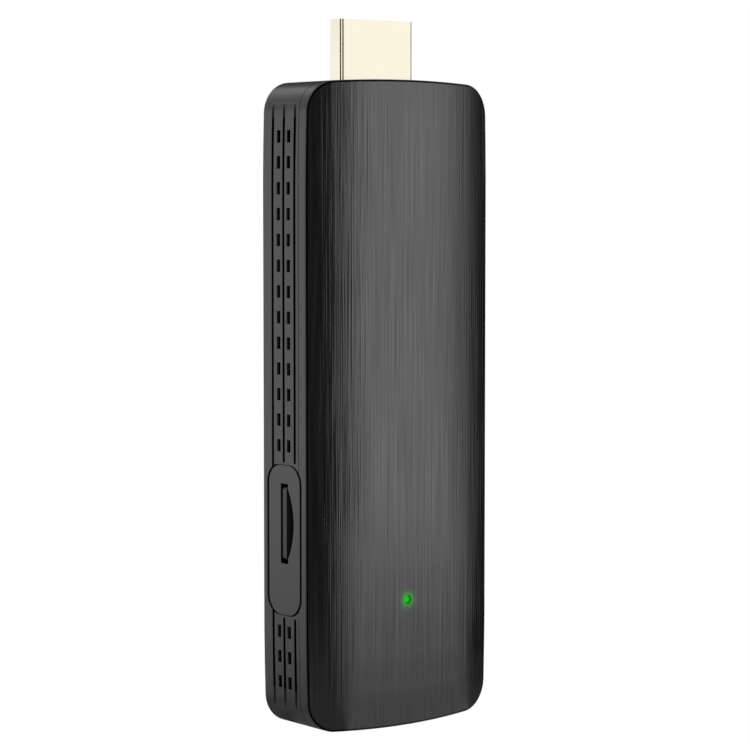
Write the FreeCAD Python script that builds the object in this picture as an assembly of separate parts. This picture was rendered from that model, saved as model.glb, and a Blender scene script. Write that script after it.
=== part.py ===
import FreeCAD, Part
import math
import os

# A streaming stick, in millimetres, standing with its plug up. The origin is where the plug's centre line
# leaves the top of the casing. +Z runs along the plug, the brushed front looks along -Y and the card slot
# along -X. Depths are measured from the plug's centre plane, towards the front as negative Y.

Vector = FreeCAD.Vector

# Casing outline, seen from the front
body_width = 35.3
body_height = 98.9
corner_radius = 4.8
end_radius = 230.0
side_ease_radius = 550.0
side_ease_length = 15.0

# Casing depth, walls and split line
front_edge_depth = 7.46
front_crown = 1.9
back_depth = 4.0
seam_depth = 5.66
seam_gap = 0.12
wall = 1.5
back_edge_chamfer = 0.6

# Front cover, its inner lip, the brushed plate let into it and its stiffening ribs
rim_width = 0.3
rim_chamfer = 0.25
plate_thickness = 0.5
plate_glue = 0.03
plate_gap = 0.03
cover_skin = 1.3
lip_thickness = 0.6
lip_length = 1.2
lip_gap = 0.08
rib_thickness = 0.8
rib_height = 0.9
rib_heights_down = (54.0,)
snap_length = 5.0
snap_reach = 0.22
snap_height = 0.4
snap_offset = 0.3
snap_above_bottom = 8.9
snap_heights_down = (16.0, 45.0, body_height - snap_above_bottom)

# Side grooves and ventilation slots
groove_depths = (4.61, 1.82, -0.96)
groove_width = 0.56
groove_cut = 0.45
groove_stop_gap = 0.3
vent_depths = (3.08, 0.56)
vent_width = 0.88
vent_height = 1.88
vent_pitch = 3.88
vent_first_down = 8.64
vent_panel_gap = 1.0
vent_lower_reach = 15.33
vent_lower_first_down = body_height - vent_lower_reach
vent_lower_count = 3

# Side panels, outlined by a groove that narrows round their ends
panel_depth = 1.9
panel_above_bottom = 29.34
panel_centre_down = body_height - panel_above_bottom
panel_window_width = 8.82
panel_window_length = 23.0
panel_window_radius = 2.9
panel_groove = 0.5
panel_end_gap = 0.1
panel_fit = 0.05
panel_flange_thickness = 0.6
panel_flange_overlap = 0.5

# Plug: a D-shaped tube folded from sheet, with its insulator and two rows of contacts
plug_width = 13.9
plug_height = 4.45
plug_side = 2.77
plug_narrow_width = 10.2
plug_reach = 9.3
plug_inner_reach = 4.0
plug_sheet = 0.3
plug_bend_radius = 0.5
plug_opening_gap = 0.12
plug_insulator_gap = 0.04
plug_insulator_recess = 0.4
plug_cavity_width = 11.6
plug_cavity_height = 1.9
plug_cavity_offset = -0.2
plug_cavity_length = 8.2
plug_contact_pitch = 1.0
plug_contact_width = 0.45
plug_contact_thickness = 0.2
plug_contact_slot = 0.55
plug_contact_tip_gap = 0.8
plug_contact_tip_length = 1.0
plug_contact_end_wall = 0.3
plug_tail_length = 2.2
plug_tab_width = 2.0
plug_tab_length = 3.0

# Main board and the gap it keeps from the casing
board_thickness = 1.0
board_front_depth = 0.7
board_side_gap = 0.95
board_top_down = 4.9
board_bottom_gap = 1.6
board_corner_radius = 3.0
board_slot_gap = 0.2
screw_hole_radius = 1.1
screw_inset = 4.2
screw_down = 11.0
screw_above_bottom = 16.9
boss_radius = 2.0
board_rest_width = 0.8
board_rest_length = 18.0
board_rest_inset = 7.0
board_rest_heights_down = (34.0, 52.0)

# Board screws
screw_radius = 0.95
screw_pilot_gap = 0.05
screw_length = 2.8
screw_head_radius = 1.8
screw_head_height = 1.2
screw_drive_width = 0.5
screw_drive_depth = 0.6

# Card, card opening and the finger notch beside it
card_above_panel = 2.52
card_centre_down = panel_centre_down - card_above_panel
card_length = 15.0
card_width = 11.0
card_narrow_width = 9.7
card_narrow_length = 6.4
card_thickness = 0.7
card_lip_thickness = 1.0
card_lip_length = 1.2
card_recess = 0.22
card_corner_radius = 0.35
card_floor_gap = 0.15
card_side_gap = 0.15
card_opening_width = 1.88
card_opening_length = 12.18
card_opening_depth = 1.93
notch_bulge = 1.43
notch_chord = 10.6
notch_cut = 1.35

# Card socket: base tray, sheet cover, slider with its spring and latch pin
socket_mouth_inset = 2.35
socket_end_gap = 0.25
socket_floor = 0.35
socket_rail = 1.4
socket_end_wall = 0.35
socket_outer_wall = 0.4
socket_sheet = 0.15
socket_window_length = 3.6
socket_window_width = 1.4
socket_window_pitch = 5.2
slider_channel = 1.6
slider_gap = 0.1
slider_length = 4.6
slider_nose_length = 1.6
slider_nose_gap = 0.2
card_push_in = 0.7
spring_wire_radius = 0.06
spring_radius = 0.29
spring_turns = 3.0
latch_wire_radius = 0.1
latch_cut_depth = 0.45
latch_side_gap = 0.12
latch_tip_inset = 1.93
socket_contact_count = 8
socket_contact_pitch = 1.1
socket_contact_width = 0.5
socket_contact_thickness = 0.12
socket_contact_bends = (2.3, 4.0, 6.6, 7.4)
socket_contact_curl = 0.15
socket_slot_inset = 2.0
socket_slot_length = 6.0
socket_slot_skin = 0.2

# USB socket in the bottom end
usb_centre_depth = 1.9
usb_width = 13.14
usb_height = 5.72
usb_length = 14.0
usb_recess = 0.35
usb_sheet = 0.3
usb_corner_radius = 0.7
usb_opening_gap = 0.15
usb_tongue_width = 11.1
usb_tongue_thickness = 1.84
usb_tongue_length = 8.9
usb_tongue_gap = 0.7
usb_base_length = 2.6
usb_contact_offsets = (-3.5, -1.0, 1.0, 3.5)
usb_contact_width = 1.0
usb_contact_thickness = 0.2
usb_contact_tip_inset = 0.7
usb_contact_bends = (0.1, 0.9, 2.2)
usb_tab_length = 1.5
usb_tab_width = 1.6
usb_tab_insets = (4.9, 11.2)
usb_finger_width = 2.0
usb_finger_root = 7.5
usb_finger_length = 5.0
usb_finger_slot = 0.3

# Power inlet in the right side
inlet_offset_up = 3.6
inlet_length = 7.5
inlet_height = 2.45
inlet_side = 1.15
inlet_narrow_length = 5.4
inlet_reach = 5.0
inlet_recess = 0.25
inlet_sheet = 0.25
inlet_bend_radius = 0.35
inlet_opening_gap = 0.15
inlet_tongue_length = 3.7
inlet_tongue_thickness = 0.6
inlet_tongue_reach = 3.4
inlet_base = 1.1
inlet_contact_count = 5
inlet_contact_pitch = 0.65
inlet_contact_width = 0.3
inlet_contact_thickness = 0.12
inlet_contact_tip_inset = 0.4
inlet_contact_gap = 0.03
inlet_contact_bends = (0.1, 0.9, 1.8)

# Reset switch behind its pin-hole, below the power inlet
reset_offset_down = 6.2
reset_hole_radius = 0.6
reset_depth = 1.6
reset_base_length = 3.5
reset_base_height = 1.8
reset_base_reach = 2.7
reset_inset = 2.55
reset_plunger_length = 1.5
reset_plunger_height = 0.7
reset_plunger_reach = 1.3
reset_tip_gap = 0.12
reset_tip_chamfer = 0.1
reset_gap = 0.1
reset_travel = 0.25

# Status light and the light pipe above it
light_offset = 0.35
light_above_bottom = 19.45
light_down = body_height - light_above_bottom
light_pipe_radius = 0.7
light_pipe_gap = 0.05
light_pipe_recess = 0.35
light_pipe_flange_width = 2.6
light_pipe_flange_length = 0.8
light_boss_radius = 1.9
light_boss_length = 2.6
led_width = 1.6
led_height = 0.8
led_thickness = 0.6
light_gap = 0.25

# Chips and other pieces soldered to the front of the board. A size is width, height and thickness.
processor_size = (14.0, 14.0, 1.2)
processor_height_share = 0.3033
memory_height = 13.3
memory_thickness = 1.0
chip_gap = 0.4
board_edge_gap = 0.4
flash_size = (11.5, 13.0, 1.0)
flash_offset = 6.6
flash_below_processor = 17.2
power_chip_size = (5.0, 5.0, 0.9)
power_chip_offset = 3.2
power_chip_above_bottom = 32.4
wireless_size = (9.0, 9.0, 0.6)
wireless_below_processor = 16.9
shield_height = 1.6
shield_sheet = 0.2
shield_margin = 0.4
crystal_size = (3.2, 2.5, 0.7)
crystal_offset = 8.0
crystal_above_processor = 13.0
inductor_size = (3.0, 3.0, 1.4)
inductor_inlet_gap = 0.7
inductor_above_bottom = 31.4
inductor_pitch = 3.8
inductor_count = 4
capacitor_size = (1.0, 0.5, 0.5)
capacitor_pitch = 2.2
capacitor_row_reach = 9.4
capacitor_row_count = 6
chip_edge_ease = 0.15
pad_thickness = 0.5
spreader_edge_gap = 0.7
spreader_height = 24.0
spreader_base = 1.2
spreader_fin_height = 1.7
spreader_fin_thickness = 0.9
spreader_fin_inset = 1.45
spreader_fin_count = 10
antenna_usb_gap = 0.93
antenna_width = 2.4
antenna_height = 2.8
antenna_sheet = 0.3
antenna_above_bottom = 7.9
antenna_feed_inset = 1.8
antenna_feed_width = 0.8
antenna_feed_reach = 0.8

# Places worked out from the sizes above
half_width = body_width / 2.0
front_edge_y = -front_edge_depth
crest_y = front_edge_y - front_crown
back_y = back_depth
back_inner_y = back_y - wall
seam_y = -seam_depth
case_front_y = seam_y + seam_gap
crown_radius = (half_width**2 + front_crown**2) / (2.0 * front_crown)
crown_axis_y = crest_y + crown_radius
clear_y = crest_y - 2.0
inner_x = half_width - wall
board_front_y = -board_front_depth
board_back_y = board_front_y + board_thickness
board_half_width = inner_x - board_side_gap
board_bottom_z = -body_height + wall + board_bottom_gap
panel_y = -panel_depth
panel_z = -panel_centre_down
panel_flange_x = inner_x - panel_fit - panel_flange_thickness
processor_down = processor_height_share * body_height


def box(x_low, x_high, y_low, y_high, z_low, z_high):
    """A block between two corners."""
    return Part.makeBox(x_high - x_low, y_high - y_low, z_high - z_low, Vector(x_low, y_low, z_low))


def rod(start, end, radius):
    """A round rod from one point to another."""
    along = end - start
    return Part.makeCylinder(radius, along.Length, start, along)


def fused(solids):
    """One solid out of several that touch or overlap."""
    return solids[0].multiFuse(solids[1:]).removeSplitter()


def xy_plane(z):
    """Puts a flat point (a, b) at x = a, y = b and the given height."""
    return lambda a, b: Vector(a, b, z)


def xz_plane(y):
    """Puts a flat point (a, b) at x = a, z = b and the given depth."""
    return lambda a, b: Vector(a, y, b)


def yz_plane(x):
    """Puts a flat point (a, b) at y = a, z = b and the given width."""
    return lambda a, b: Vector(x, a, b)


def outline(corners, radius, place):
    """A closed wire through the corner points, with every corner rounded to the same radius."""
    count = len(corners)
    edges = []
    last_end = None
    first_start = None
    for index in range(count):
        before = Vector(*corners[index - 1], 0)
        corner = Vector(*corners[index], 0)
        after = Vector(*corners[(index + 1) % count], 0)
        to_before = (before - corner).normalize()
        to_after = (after - corner).normalize()
        half_angle = to_before.getAngle(to_after) / 2.0
        cut_back = radius / math.tan(half_angle)
        start = corner + to_before * cut_back
        end = corner + to_after * cut_back
        inward = (to_before + to_after).normalize()
        middle = corner + inward * (radius / math.sin(half_angle) - radius)
        if last_end is None:
            first_start = start
        else:
            side = Part.LineSegment(place(last_end.x, last_end.y), place(start.x, start.y))
            edges.append(side.toShape())
        arc = Part.Arc(place(start.x, start.y), place(middle.x, middle.y), place(end.x, end.y))
        edges.append(arc.toShape())
        last_end = end
    closing = Part.LineSegment(place(last_end.x, last_end.y), place(first_start.x, first_start.y))
    edges.append(closing.toShape())
    return Part.Wire(Part.__sortEdges__(edges))


def polygon(corners, place):
    """A closed wire of straight edges through the corner points."""
    points = [place(a, b) for a, b in corners]
    return Part.makePolygon(points + points[:1])


def prism(wire, along):
    """The solid that a closed flat wire sweeps along a straight vector."""
    return Part.Face(wire).extrude(along)


def rectangle(centre_a, centre_b, size_a, size_b):
    """The four corners of a rectangle about a centre."""
    low_a = centre_a - size_a / 2.0
    high_a = centre_a + size_a / 2.0
    low_b = centre_b - size_b / 2.0
    high_b = centre_b + size_b / 2.0
    return [(low_a, low_b), (high_a, low_b), (high_a, high_b), (low_a, high_b)]


def wire_section(centre, first, second, radius, sides):
    """A thin wire's section, drawn with a few flat sides across two directions square to the wire."""
    points = []
    for index in range(sides):
        turn = 2.0 * math.pi * index / sides
        points.append(centre + first * (radius * math.cos(turn)) + second * (radius * math.sin(turn)))
    return Part.makePolygon(points + points[:1])


def ribbon(points, thickness, place, along):
    """A bent strip: a centre line given as flat points, thickened across its second coordinate."""
    half = thickness / 2.0
    upper = [(a, b + half) for a, b in points]
    lower = [(a, b - half) for a, b in reversed(points)]
    return prism(polygon(upper + lower, place), along)


def casing_outline(inset, y):
    """The casing's outline, drawn in by inset: straight sides that ease into round corners and long end arcs.

    Each quarter is three tangent arcs. Their centres stay put when the outline is drawn in, so only the
    radii shrink.
    """
    ease_angle = math.asin(side_ease_length / side_ease_radius)
    across = half_width - side_ease_radius * (1.0 - math.cos(ease_angle))
    reach = across - corner_radius * math.cos(ease_angle)
    corner_angle = math.acos(reach / (end_radius - corner_radius))
    end_centre_z = -end_radius
    corner_x = (end_radius - corner_radius) * math.cos(corner_angle)
    corner_z = end_centre_z + (end_radius - corner_radius) * math.sin(corner_angle)
    ease_x = corner_x - (side_ease_radius - corner_radius) * math.cos(ease_angle)
    ease_z = corner_z - (side_ease_radius - corner_radius) * math.sin(ease_angle)

    def on_arc(centre_x, centre_z, radius, angle, side, end):
        x = centre_x + (radius - inset) * math.cos(angle)
        z = centre_z + (radius - inset) * math.sin(angle)
        if end == "bottom":
            z = -body_height - z
        return Vector(side * x, y, z)

    def corner_arcs(side, end):
        ease_angles = (0.0, ease_angle / 2.0, ease_angle)
        ease = [on_arc(ease_x, ease_z, side_ease_radius, angle, side, end) for angle in ease_angles]
        angles = (ease_angle, (ease_angle + corner_angle) / 2.0, corner_angle)
        corner = [on_arc(corner_x, corner_z, corner_radius, angle, side, end) for angle in angles]
        return Part.Arc(*ease).toShape(), Part.Arc(*corner).toShape(), ease[0], corner[2]

    edges = []
    side_starts = []
    for end in ("top", "bottom"):
        end_starts = []
        for side in (1, -1):
            ease, corner, side_start, end_start = corner_arcs(side, end)
            edges += [ease, corner]
            side_starts.append(side_start)
            end_starts.append(end_start)
        crest = on_arc(0.0, end_centre_z, end_radius, math.pi / 2.0, 1, end)
        edges.append(Part.Arc(end_starts[0], crest, end_starts[1]).toShape())
    edges.append(Part.LineSegment(side_starts[0], side_starts[2]).toShape())
    edges.append(Part.LineSegment(side_starts[1], side_starts[3]).toShape())
    return Part.Wire(Part.__sortEdges__(edges))


def casing_prism(inset, y_low, y_high):
    """The casing's outline, drawn in by inset, as a solid between two depths."""
    return prism(casing_outline(inset, y_low), Vector(0, y_high - y_low, 0))


def crown(below):
    """The round bar whose surface is the crowned front, or a surface that lies below it."""
    base = Vector(0, crown_axis_y, -body_height - wall)
    return Part.makeCylinder(crown_radius - below, body_height + 2.0 * wall, base, Vector(0, 0, 1))


def d_corners(wide, height, side, narrow, inset):
    """The corners of a connector's D shape: a wide face, two short sides, two slanted ones and a narrow face.

    The wide face lies at minus half the height. Inset draws every side in by the same amount.
    """
    slope_a = height - side
    slope_b = (wide - narrow) / 2.0
    length = math.hypot(slope_a, slope_b)
    normal_a = slope_a / length
    normal_b = slope_b / length
    reach = normal_a * wide / 2.0 + normal_b * (side - height / 2.0) - inset
    a_side = wide / 2.0 - inset
    b_wide = -height / 2.0 + inset
    b_narrow = height / 2.0 - inset
    b_bend = (reach - normal_a * a_side) / normal_b
    a_narrow = (reach - normal_b * b_narrow) / normal_a
    return [
        (-a_side, b_wide),
        (a_side, b_wide),
        (a_side, b_bend),
        (a_narrow, b_narrow),
        (-a_narrow, b_narrow),
        (-a_side, b_bend),
    ]


def plug_prism(inset, z_low, z_high):
    """The plug's D shape as a solid between two heights, wide face to the front.

    The sheet's outside is rounded at its bends, and what lies inside it has plain corners.
    """
    corners = d_corners(plug_width, plug_height, plug_side, plug_narrow_width, inset)
    place = xy_plane(z_low)
    wire = polygon(corners, place) if inset > 0 else outline(corners, plug_bend_radius, place)
    return prism(wire, Vector(0, 0, z_high - z_low))


def side_prism(side, corners, radius, inset_from, inset_to):
    """A rounded block in a side wall, between two distances in from the casing's side face.

    The corners are (y, z) points. Side is -1 for the card side and 1 for the port side.
    """
    x_from = side * (half_width - inset_from)
    wire = outline(corners, radius, yz_plane(x_from))
    return prism(wire, Vector(side * (inset_from - inset_to), 0, 0))


def panel_window(side):
    """The hole that a side panel fills, through the wall and beyond both of its faces."""
    corners = rectangle(panel_y, panel_z, panel_window_width, panel_window_length)
    return side_prism(side, corners, panel_window_radius, -1.0, wall + lip_thickness)


def usb_prism(inset, z_low, z_high):
    """The USB socket's oblong as a solid between two heights, rounded only on the sheet's outside."""
    corners = rectangle(0.0, -usb_centre_depth, usb_width - 2.0 * inset, usb_height - 2.0 * inset)
    place = xy_plane(z_low)
    wire = polygon(corners, place) if inset > 0 else outline(corners, usb_corner_radius, place)
    return prism(wire, Vector(0, 0, z_high - z_low))


def vent_heights():
    """The height of the middle of every ventilation slot, above and below the side panel."""
    room = panel_centre_down - (panel_window_length + vent_height) / 2.0 - vent_panel_gap - vent_first_down
    upper = [-vent_first_down - index * vent_pitch for index in range(int(room / vent_pitch) + 1)]
    lower = [-vent_lower_first_down - index * vent_pitch for index in range(vent_lower_count)]
    return upper + lower


def groove_runs():
    """Each groove's depth and its runs: the rearmost joins the panel's outline, the others stop short."""
    reach = panel_window_length / 2.0 + groove_stop_gap
    rear = min(groove_depths)
    stopped = [(-body_height, panel_z - reach), (panel_z + reach, 0.0)]
    return [(depth, [(-body_height, 0.0)] if depth == rear else stopped) for depth in groove_depths]


def screw_centres():
    """Where the two board screws stand, as (x, z), at opposite corners of the board."""
    x = inner_x - screw_inset
    return [(-x, -screw_down), (x, screw_above_bottom - body_height)]


def snap_bars(depth_extra, length_extra):
    """The snap ridges on the cover's lip, or the pockets for them when the extras are more than zero."""
    bars = []
    y_low = seam_y + snap_offset - depth_extra
    y_high = seam_y + snap_offset + snap_height + depth_extra
    lip_x = inner_x + lip_thickness
    for side in (-1, 1):
        for down in snap_heights_down:
            x_root = side * (lip_x - lip_gap)
            x_tip = side * (lip_x + snap_reach + depth_extra)
            z_low = -down - snap_length / 2.0 - length_extra
            z_high = -down + snap_length / 2.0 + length_extra
            bars.append(box(min(x_root, x_tip), max(x_root, x_tip), y_low, y_high, z_low, z_high))
    return bars


def front_cover():
    """The front half of the casing: crowned skin, rim, inner lip with snap ridges, ribs and light boss."""
    shell = casing_prism(0.0, clear_y, seam_y).common(crown(0.0))
    rim_edges = []
    for edge in shell.Edges:
        if edge.BoundBox.YMax < front_edge_y + 0.01 and edge.BoundBox.YMin < seam_y - 0.5:
            rim_edges.append(edge)
    shell = shell.makeChamfer(rim_chamfer, rim_edges)
    plate_seat = casing_prism(rim_width, clear_y, seam_y).cut(crown(plate_thickness))
    shell = shell.cut(plate_seat)
    hollow = casing_prism(wall, clear_y, seam_y + wall).common(crown(plate_thickness + cover_skin))
    shell = shell.cut(hollow)
    lip = casing_prism(wall - lip_thickness, seam_y - rim_width, seam_y + lip_length)
    lip = lip.cut(casing_prism(wall, clear_y, back_y))
    pieces = [shell, lip] + snap_bars(0.0, 0.0)
    for down in rib_heights_down:
        z_low = -down - rib_thickness / 2.0
        rib = box(-half_width, half_width, clear_y, back_y, z_low, z_low + rib_thickness)
        rib = rib.common(casing_prism(wall - rim_width, clear_y, seam_y))
        rib = rib.common(crown(plate_thickness + rim_width))
        rib = rib.cut(crown(plate_thickness + cover_skin + rib_height))
        pieces.append(rib)
    boss_top = Vector(light_offset, crest_y + plate_thickness + rim_width, -light_down)
    boss_end = boss_top + Vector(0, cover_skin - rim_width + light_boss_length, 0)
    pieces.append(rod(boss_top, boss_end, light_boss_radius))
    cover = fused(pieces)
    bore_start = Vector(light_offset, clear_y, -light_down)
    cover = cover.cut(rod(bore_start, boss_end + Vector(0, 1.0, 0), light_pipe_radius + light_pipe_gap))
    for side in (-1, 1):
        cover = cover.cut(panel_window(side))
    lip_opening = usb_width / 2.0 + usb_opening_gap
    cover = cover.cut(box(-lip_opening, lip_opening, seam_y, back_y, -body_height, -body_height + 2.0 * wall))
    plug_opening = plug_width / 2.0 + plug_opening_gap
    cover = cover.cut(box(-plug_opening, plug_opening, seam_y, back_y, -2.0 * wall, 0.0))
    return cover


def front_plate():
    """The brushed plate let into the front cover, flush with its rim."""
    plate = casing_prism(rim_width + plate_gap, clear_y, seam_y).common(crown(0.0))
    plate = plate.cut(crown(plate_thickness - plate_glue))
    start = Vector(light_offset, clear_y, -light_down)
    end = Vector(light_offset, seam_y, -light_down)
    return plate.cut(rod(start, end, light_pipe_radius + light_pipe_gap))


def rear_case():
    """The rear half of the casing: side walls with their grooves and slots, bosses and board rests."""
    shell = casing_prism(0.0, case_front_y, back_y)
    back_edges = [edge for edge in shell.Edges if edge.BoundBox.YMin > back_y - 0.01]
    shell = shell.makeChamfer(back_edge_chamfer, back_edges)
    shell = shell.cut(casing_prism(wall, clear_y, back_inner_y))
    rebate_inset = wall - lip_thickness - lip_gap
    rebate = casing_prism(rebate_inset, clear_y, seam_y + lip_length + lip_gap)
    cuts = [rebate] + snap_bars(lip_gap, lip_gap)
    for side in (-1, 1):
        x_groove = side * (half_width - groove_cut)
        x_beyond = side * (half_width + groove_cut)
        x_low = min(x_groove, x_beyond)
        x_high = max(x_groove, x_beyond)
        for depth, spans in groove_runs():
            y_low = -depth - groove_width / 2.0
            for z_low, z_high in spans:
                cuts.append(box(x_low, x_high, y_low, y_low + groove_width, z_low, z_high))
        vent_low = min(side * (inner_x - lip_thickness), side * (half_width + 1.0))
        vent_high = max(side * (inner_x - lip_thickness), side * (half_width + 1.0))
        for depth in vent_depths:
            for z in vent_heights():
                y_low = -depth - vent_width / 2.0
                z_low = z - vent_height / 2.0
                cuts.append(box(vent_low, vent_high, y_low, y_low + vent_width, z_low, z_low + vent_height))
        cuts.append(panel_window(side))
    cuts.append(plug_prism(-plug_opening_gap, -2.0 * wall, 1.0))
    cuts.append(usb_prism(-usb_opening_gap, -body_height - 1.0, -body_height + 2.0 * wall))
    case = shell.cut(Part.makeCompound(cuts))
    pieces = [case]
    for x, z in screw_centres():
        pieces.append(rod(Vector(x, back_inner_y + rim_width, z), Vector(x, board_back_y, z), boss_radius))
    rest_x = board_half_width - board_rest_inset
    rest_foot_y = back_inner_y + rim_width
    for down in board_rest_heights_down:
        for side in (-1, 1):
            x_low = side * rest_x - board_rest_width / 2.0
            x_high = x_low + board_rest_width
            z_low = -down - board_rest_length / 2.0
            z_high = z_low + board_rest_length
            pieces.append(box(x_low, x_high, board_back_y, rest_foot_y, z_low, z_high))
    case = fused(pieces)
    for x, z in screw_centres():
        pilot_end = Vector(x, board_front_y + screw_length + 2.0 * screw_pilot_gap, z)
        case = case.cut(rod(Vector(x, board_front_y, z), pilot_end, screw_radius + screw_pilot_gap))
    return case


def blank_panel(side):
    """A side panel: a pad flush with the side wall, a step that floors its groove, and a flange inside."""
    pad_width = panel_window_width - 2.0 * panel_groove
    pad_length = panel_window_length - 2.0 * panel_end_gap
    pad = rectangle(panel_y, panel_z, pad_width, pad_length)
    step_width = panel_window_width - 2.0 * panel_fit
    step_length = panel_window_length - 2.0 * panel_fit
    step = rectangle(panel_y, panel_z, step_width, step_length)
    flange_front = case_front_y + lip_gap
    flange_back = back_inner_y - lip_gap
    flange_length = panel_window_length + 2.0 * panel_flange_overlap
    flange = rectangle((flange_front + flange_back) / 2.0, panel_z, flange_back - flange_front, flange_length)
    flange_inset = wall + panel_fit
    crown_limit = crown(plate_thickness + cover_skin + panel_fit)
    flange_wire = polygon(flange, yz_plane(side * (half_width - flange_inset)))
    pieces = [
        side_prism(side, pad, panel_window_radius, 0.0, groove_cut),
        side_prism(side, step, panel_window_radius - panel_fit, groove_cut, flange_inset).common(crown_limit),
        prism(flange_wire, Vector(-side * panel_flange_thickness, 0, 0)),
    ]
    return fused(pieces)


def card_panel():
    """The panel on the card side, with the card opening and the finger notch."""
    panel = blank_panel(-1)
    opening = rectangle(-card_opening_depth, -card_centre_down, card_opening_width, card_opening_length)
    opening_wire = polygon(opening, yz_plane(-half_width - 1.0))
    panel = panel.cut(prism(opening_wire, Vector(2.0 + wall + panel_flange_thickness, 0, 0)))
    notch_radius = ((notch_chord / 2.0) ** 2 + notch_bulge**2) / (2.0 * notch_bulge)
    edge_y = -card_opening_depth - card_opening_width / 2.0
    centre = Vector(-half_width - 1.0, edge_y - notch_bulge + notch_radius, -card_centre_down)
    notch = rod(centre, centre + Vector(1.0 + notch_cut, 0, 0), notch_radius)
    front_of_slot = box(-body_width, 0, 2.0 * edge_y, edge_y + 0.1, -body_height, 0)
    return panel.cut(notch.common(front_of_slot))


def port_panel():
    """The panel on the port side, with the power inlet's opening and the reset pin-hole."""
    panel = blank_panel(1)
    x_low = inner_x - 2.0 * wall
    x_high = half_width + wall
    panel = panel.cut(inlet_prism(-inlet_opening_gap, x_low, x_high))
    hole_start = Vector(x_low, -reset_depth, reset_z())
    hole_end = Vector(x_high, -reset_depth, reset_z())
    return panel.cut(rod(hole_start, hole_end, reset_hole_radius))


def inlet_z():
    """Height of the power inlet's centre."""
    return panel_z + inlet_offset_up


def reset_z():
    """Height of the reset switch's centre."""
    return panel_z - reset_offset_down


def inlet_plane(x):
    """Puts a flat point (a, b) of the power inlet's outline into its place on the board."""
    centre_y = board_front_y - inlet_height / 2.0
    return lambda a, b: Vector(x, centre_y + b, inlet_z() + a)


def plug_shell():
    """The plug's plated sheet shell, with the two tabs that are soldered into the board."""
    tube = plug_prism(0.0, -plug_inner_reach, plug_reach)
    tube = tube.cut(plug_prism(plug_sheet, -plug_inner_reach - 1.0, plug_reach + 1.0))
    pieces = [tube]
    tab_low = board_front_y - (plug_tab_width - board_thickness) / 2.0
    for side in (-1, 1):
        x_inner = side * (plug_width / 2.0 - plug_sheet)
        x_outer = side * plug_width / 2.0
        z_low = -plug_inner_reach - plug_tab_length
        x_low = min(x_inner, x_outer)
        x_high = max(x_inner, x_outer)
        pieces.append(box(x_low, x_high, tab_low, tab_low + plug_tab_width, z_low, -plug_inner_reach))
    return fused(pieces)


def plug_contact_places():
    """Each contact's x and its row, 1 for the front row of ten and -1 for the back row of nine."""
    front = [((index - 4.5) * plug_contact_pitch, 1) for index in range(10)]
    back = [((index - 4.0) * plug_contact_pitch, -1) for index in range(9)]
    return front + back


def plug_contact(x, row):
    """One spring contact: blade along the cavity's wall, bent tip, and a tail soldered to the board."""
    wall_y = plug_cavity_offset - row * plug_cavity_height / 2.0
    blade_y = wall_y - row * plug_contact_thickness / 4.0
    tip_z = plug_reach - plug_insulator_recess - plug_contact_tip_gap
    tail_face = board_front_y if row > 0 else board_back_y
    tail_y = tail_face - row * (plug_contact_thickness / 2.0)
    back_z = -plug_inner_reach
    points = [
        (tip_z, wall_y + row * plug_contact_thickness / 2.0),
        (tip_z - plug_contact_tip_length, blade_y),
        (back_z, blade_y),
        (-board_top_down, tail_y),
        (-board_top_down - plug_tail_length, tail_y),
    ]
    place = lambda a, b: Vector(x - plug_contact_width / 2.0, b, a)
    return ribbon(points, plug_contact_thickness, place, Vector(plug_contact_width, 0, 0))


def plug_contacts():
    """The nineteen plug contacts, in two staggered rows."""
    return Part.makeCompound([plug_contact(x, row) for x, row in plug_contact_places()])


def plug_insulator():
    """The moulded block inside the plug, with its mating cavity and a slot for each contact."""
    inset = plug_sheet + plug_insulator_gap
    z_low = -plug_inner_reach
    z_high = plug_reach - plug_insulator_recess
    block = plug_prism(inset, z_low, z_high)
    cavity_z = plug_reach - plug_cavity_length
    half_cavity = plug_cavity_width / 2.0
    y_low = plug_cavity_offset - plug_cavity_height / 2.0
    cuts = [box(-half_cavity, half_cavity, y_low, y_low + plug_cavity_height, cavity_z, z_high + 1.0)]
    for x, row in plug_contact_places():
        wall_y = plug_cavity_offset - row * plug_cavity_height / 2.0
        y_low = wall_y - plug_contact_thickness
        y_high = wall_y + plug_contact_thickness
        x_low = x - plug_contact_slot / 2.0
        x_high = x_low + plug_contact_slot
        cuts.append(box(x_low, x_high, y_low, y_high, z_low - 1.0, z_high - plug_contact_end_wall))
    return block.cut(Part.makeCompound(cuts))


def main_board():
    """The circuit board, with its screw holes and its openings for the plug tabs and the USB socket."""
    board_height = -board_top_down - board_bottom_z
    corners = rectangle(0.0, board_bottom_z + board_height / 2.0, 2.0 * board_half_width, board_height)
    wire = outline(corners, board_corner_radius, xz_plane(board_front_y))
    board = prism(wire, Vector(0, board_thickness, 0))
    cuts = []
    for side in (-1, 1):
        middle = side * (plug_width - plug_sheet) / 2.0
        half_slot = plug_sheet / 2.0 + board_slot_gap
        z_low = -plug_inner_reach - plug_tab_length - board_slot_gap
        cuts.append(box(middle - half_slot, middle + half_slot, board_front_y, board_back_y, z_low, 0.0))
    usb_half = usb_width / 2.0 + board_slot_gap
    usb_top = -body_height + usb_recess + usb_length + board_slot_gap
    cuts.append(box(-usb_half, usb_half, board_front_y, board_back_y, -body_height, usb_top))
    for x, z in screw_centres():
        cuts.append(rod(Vector(x, board_front_y, z), Vector(x, board_back_y, z), screw_hole_radius))
    return board.cut(Part.makeCompound(cuts))


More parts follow.
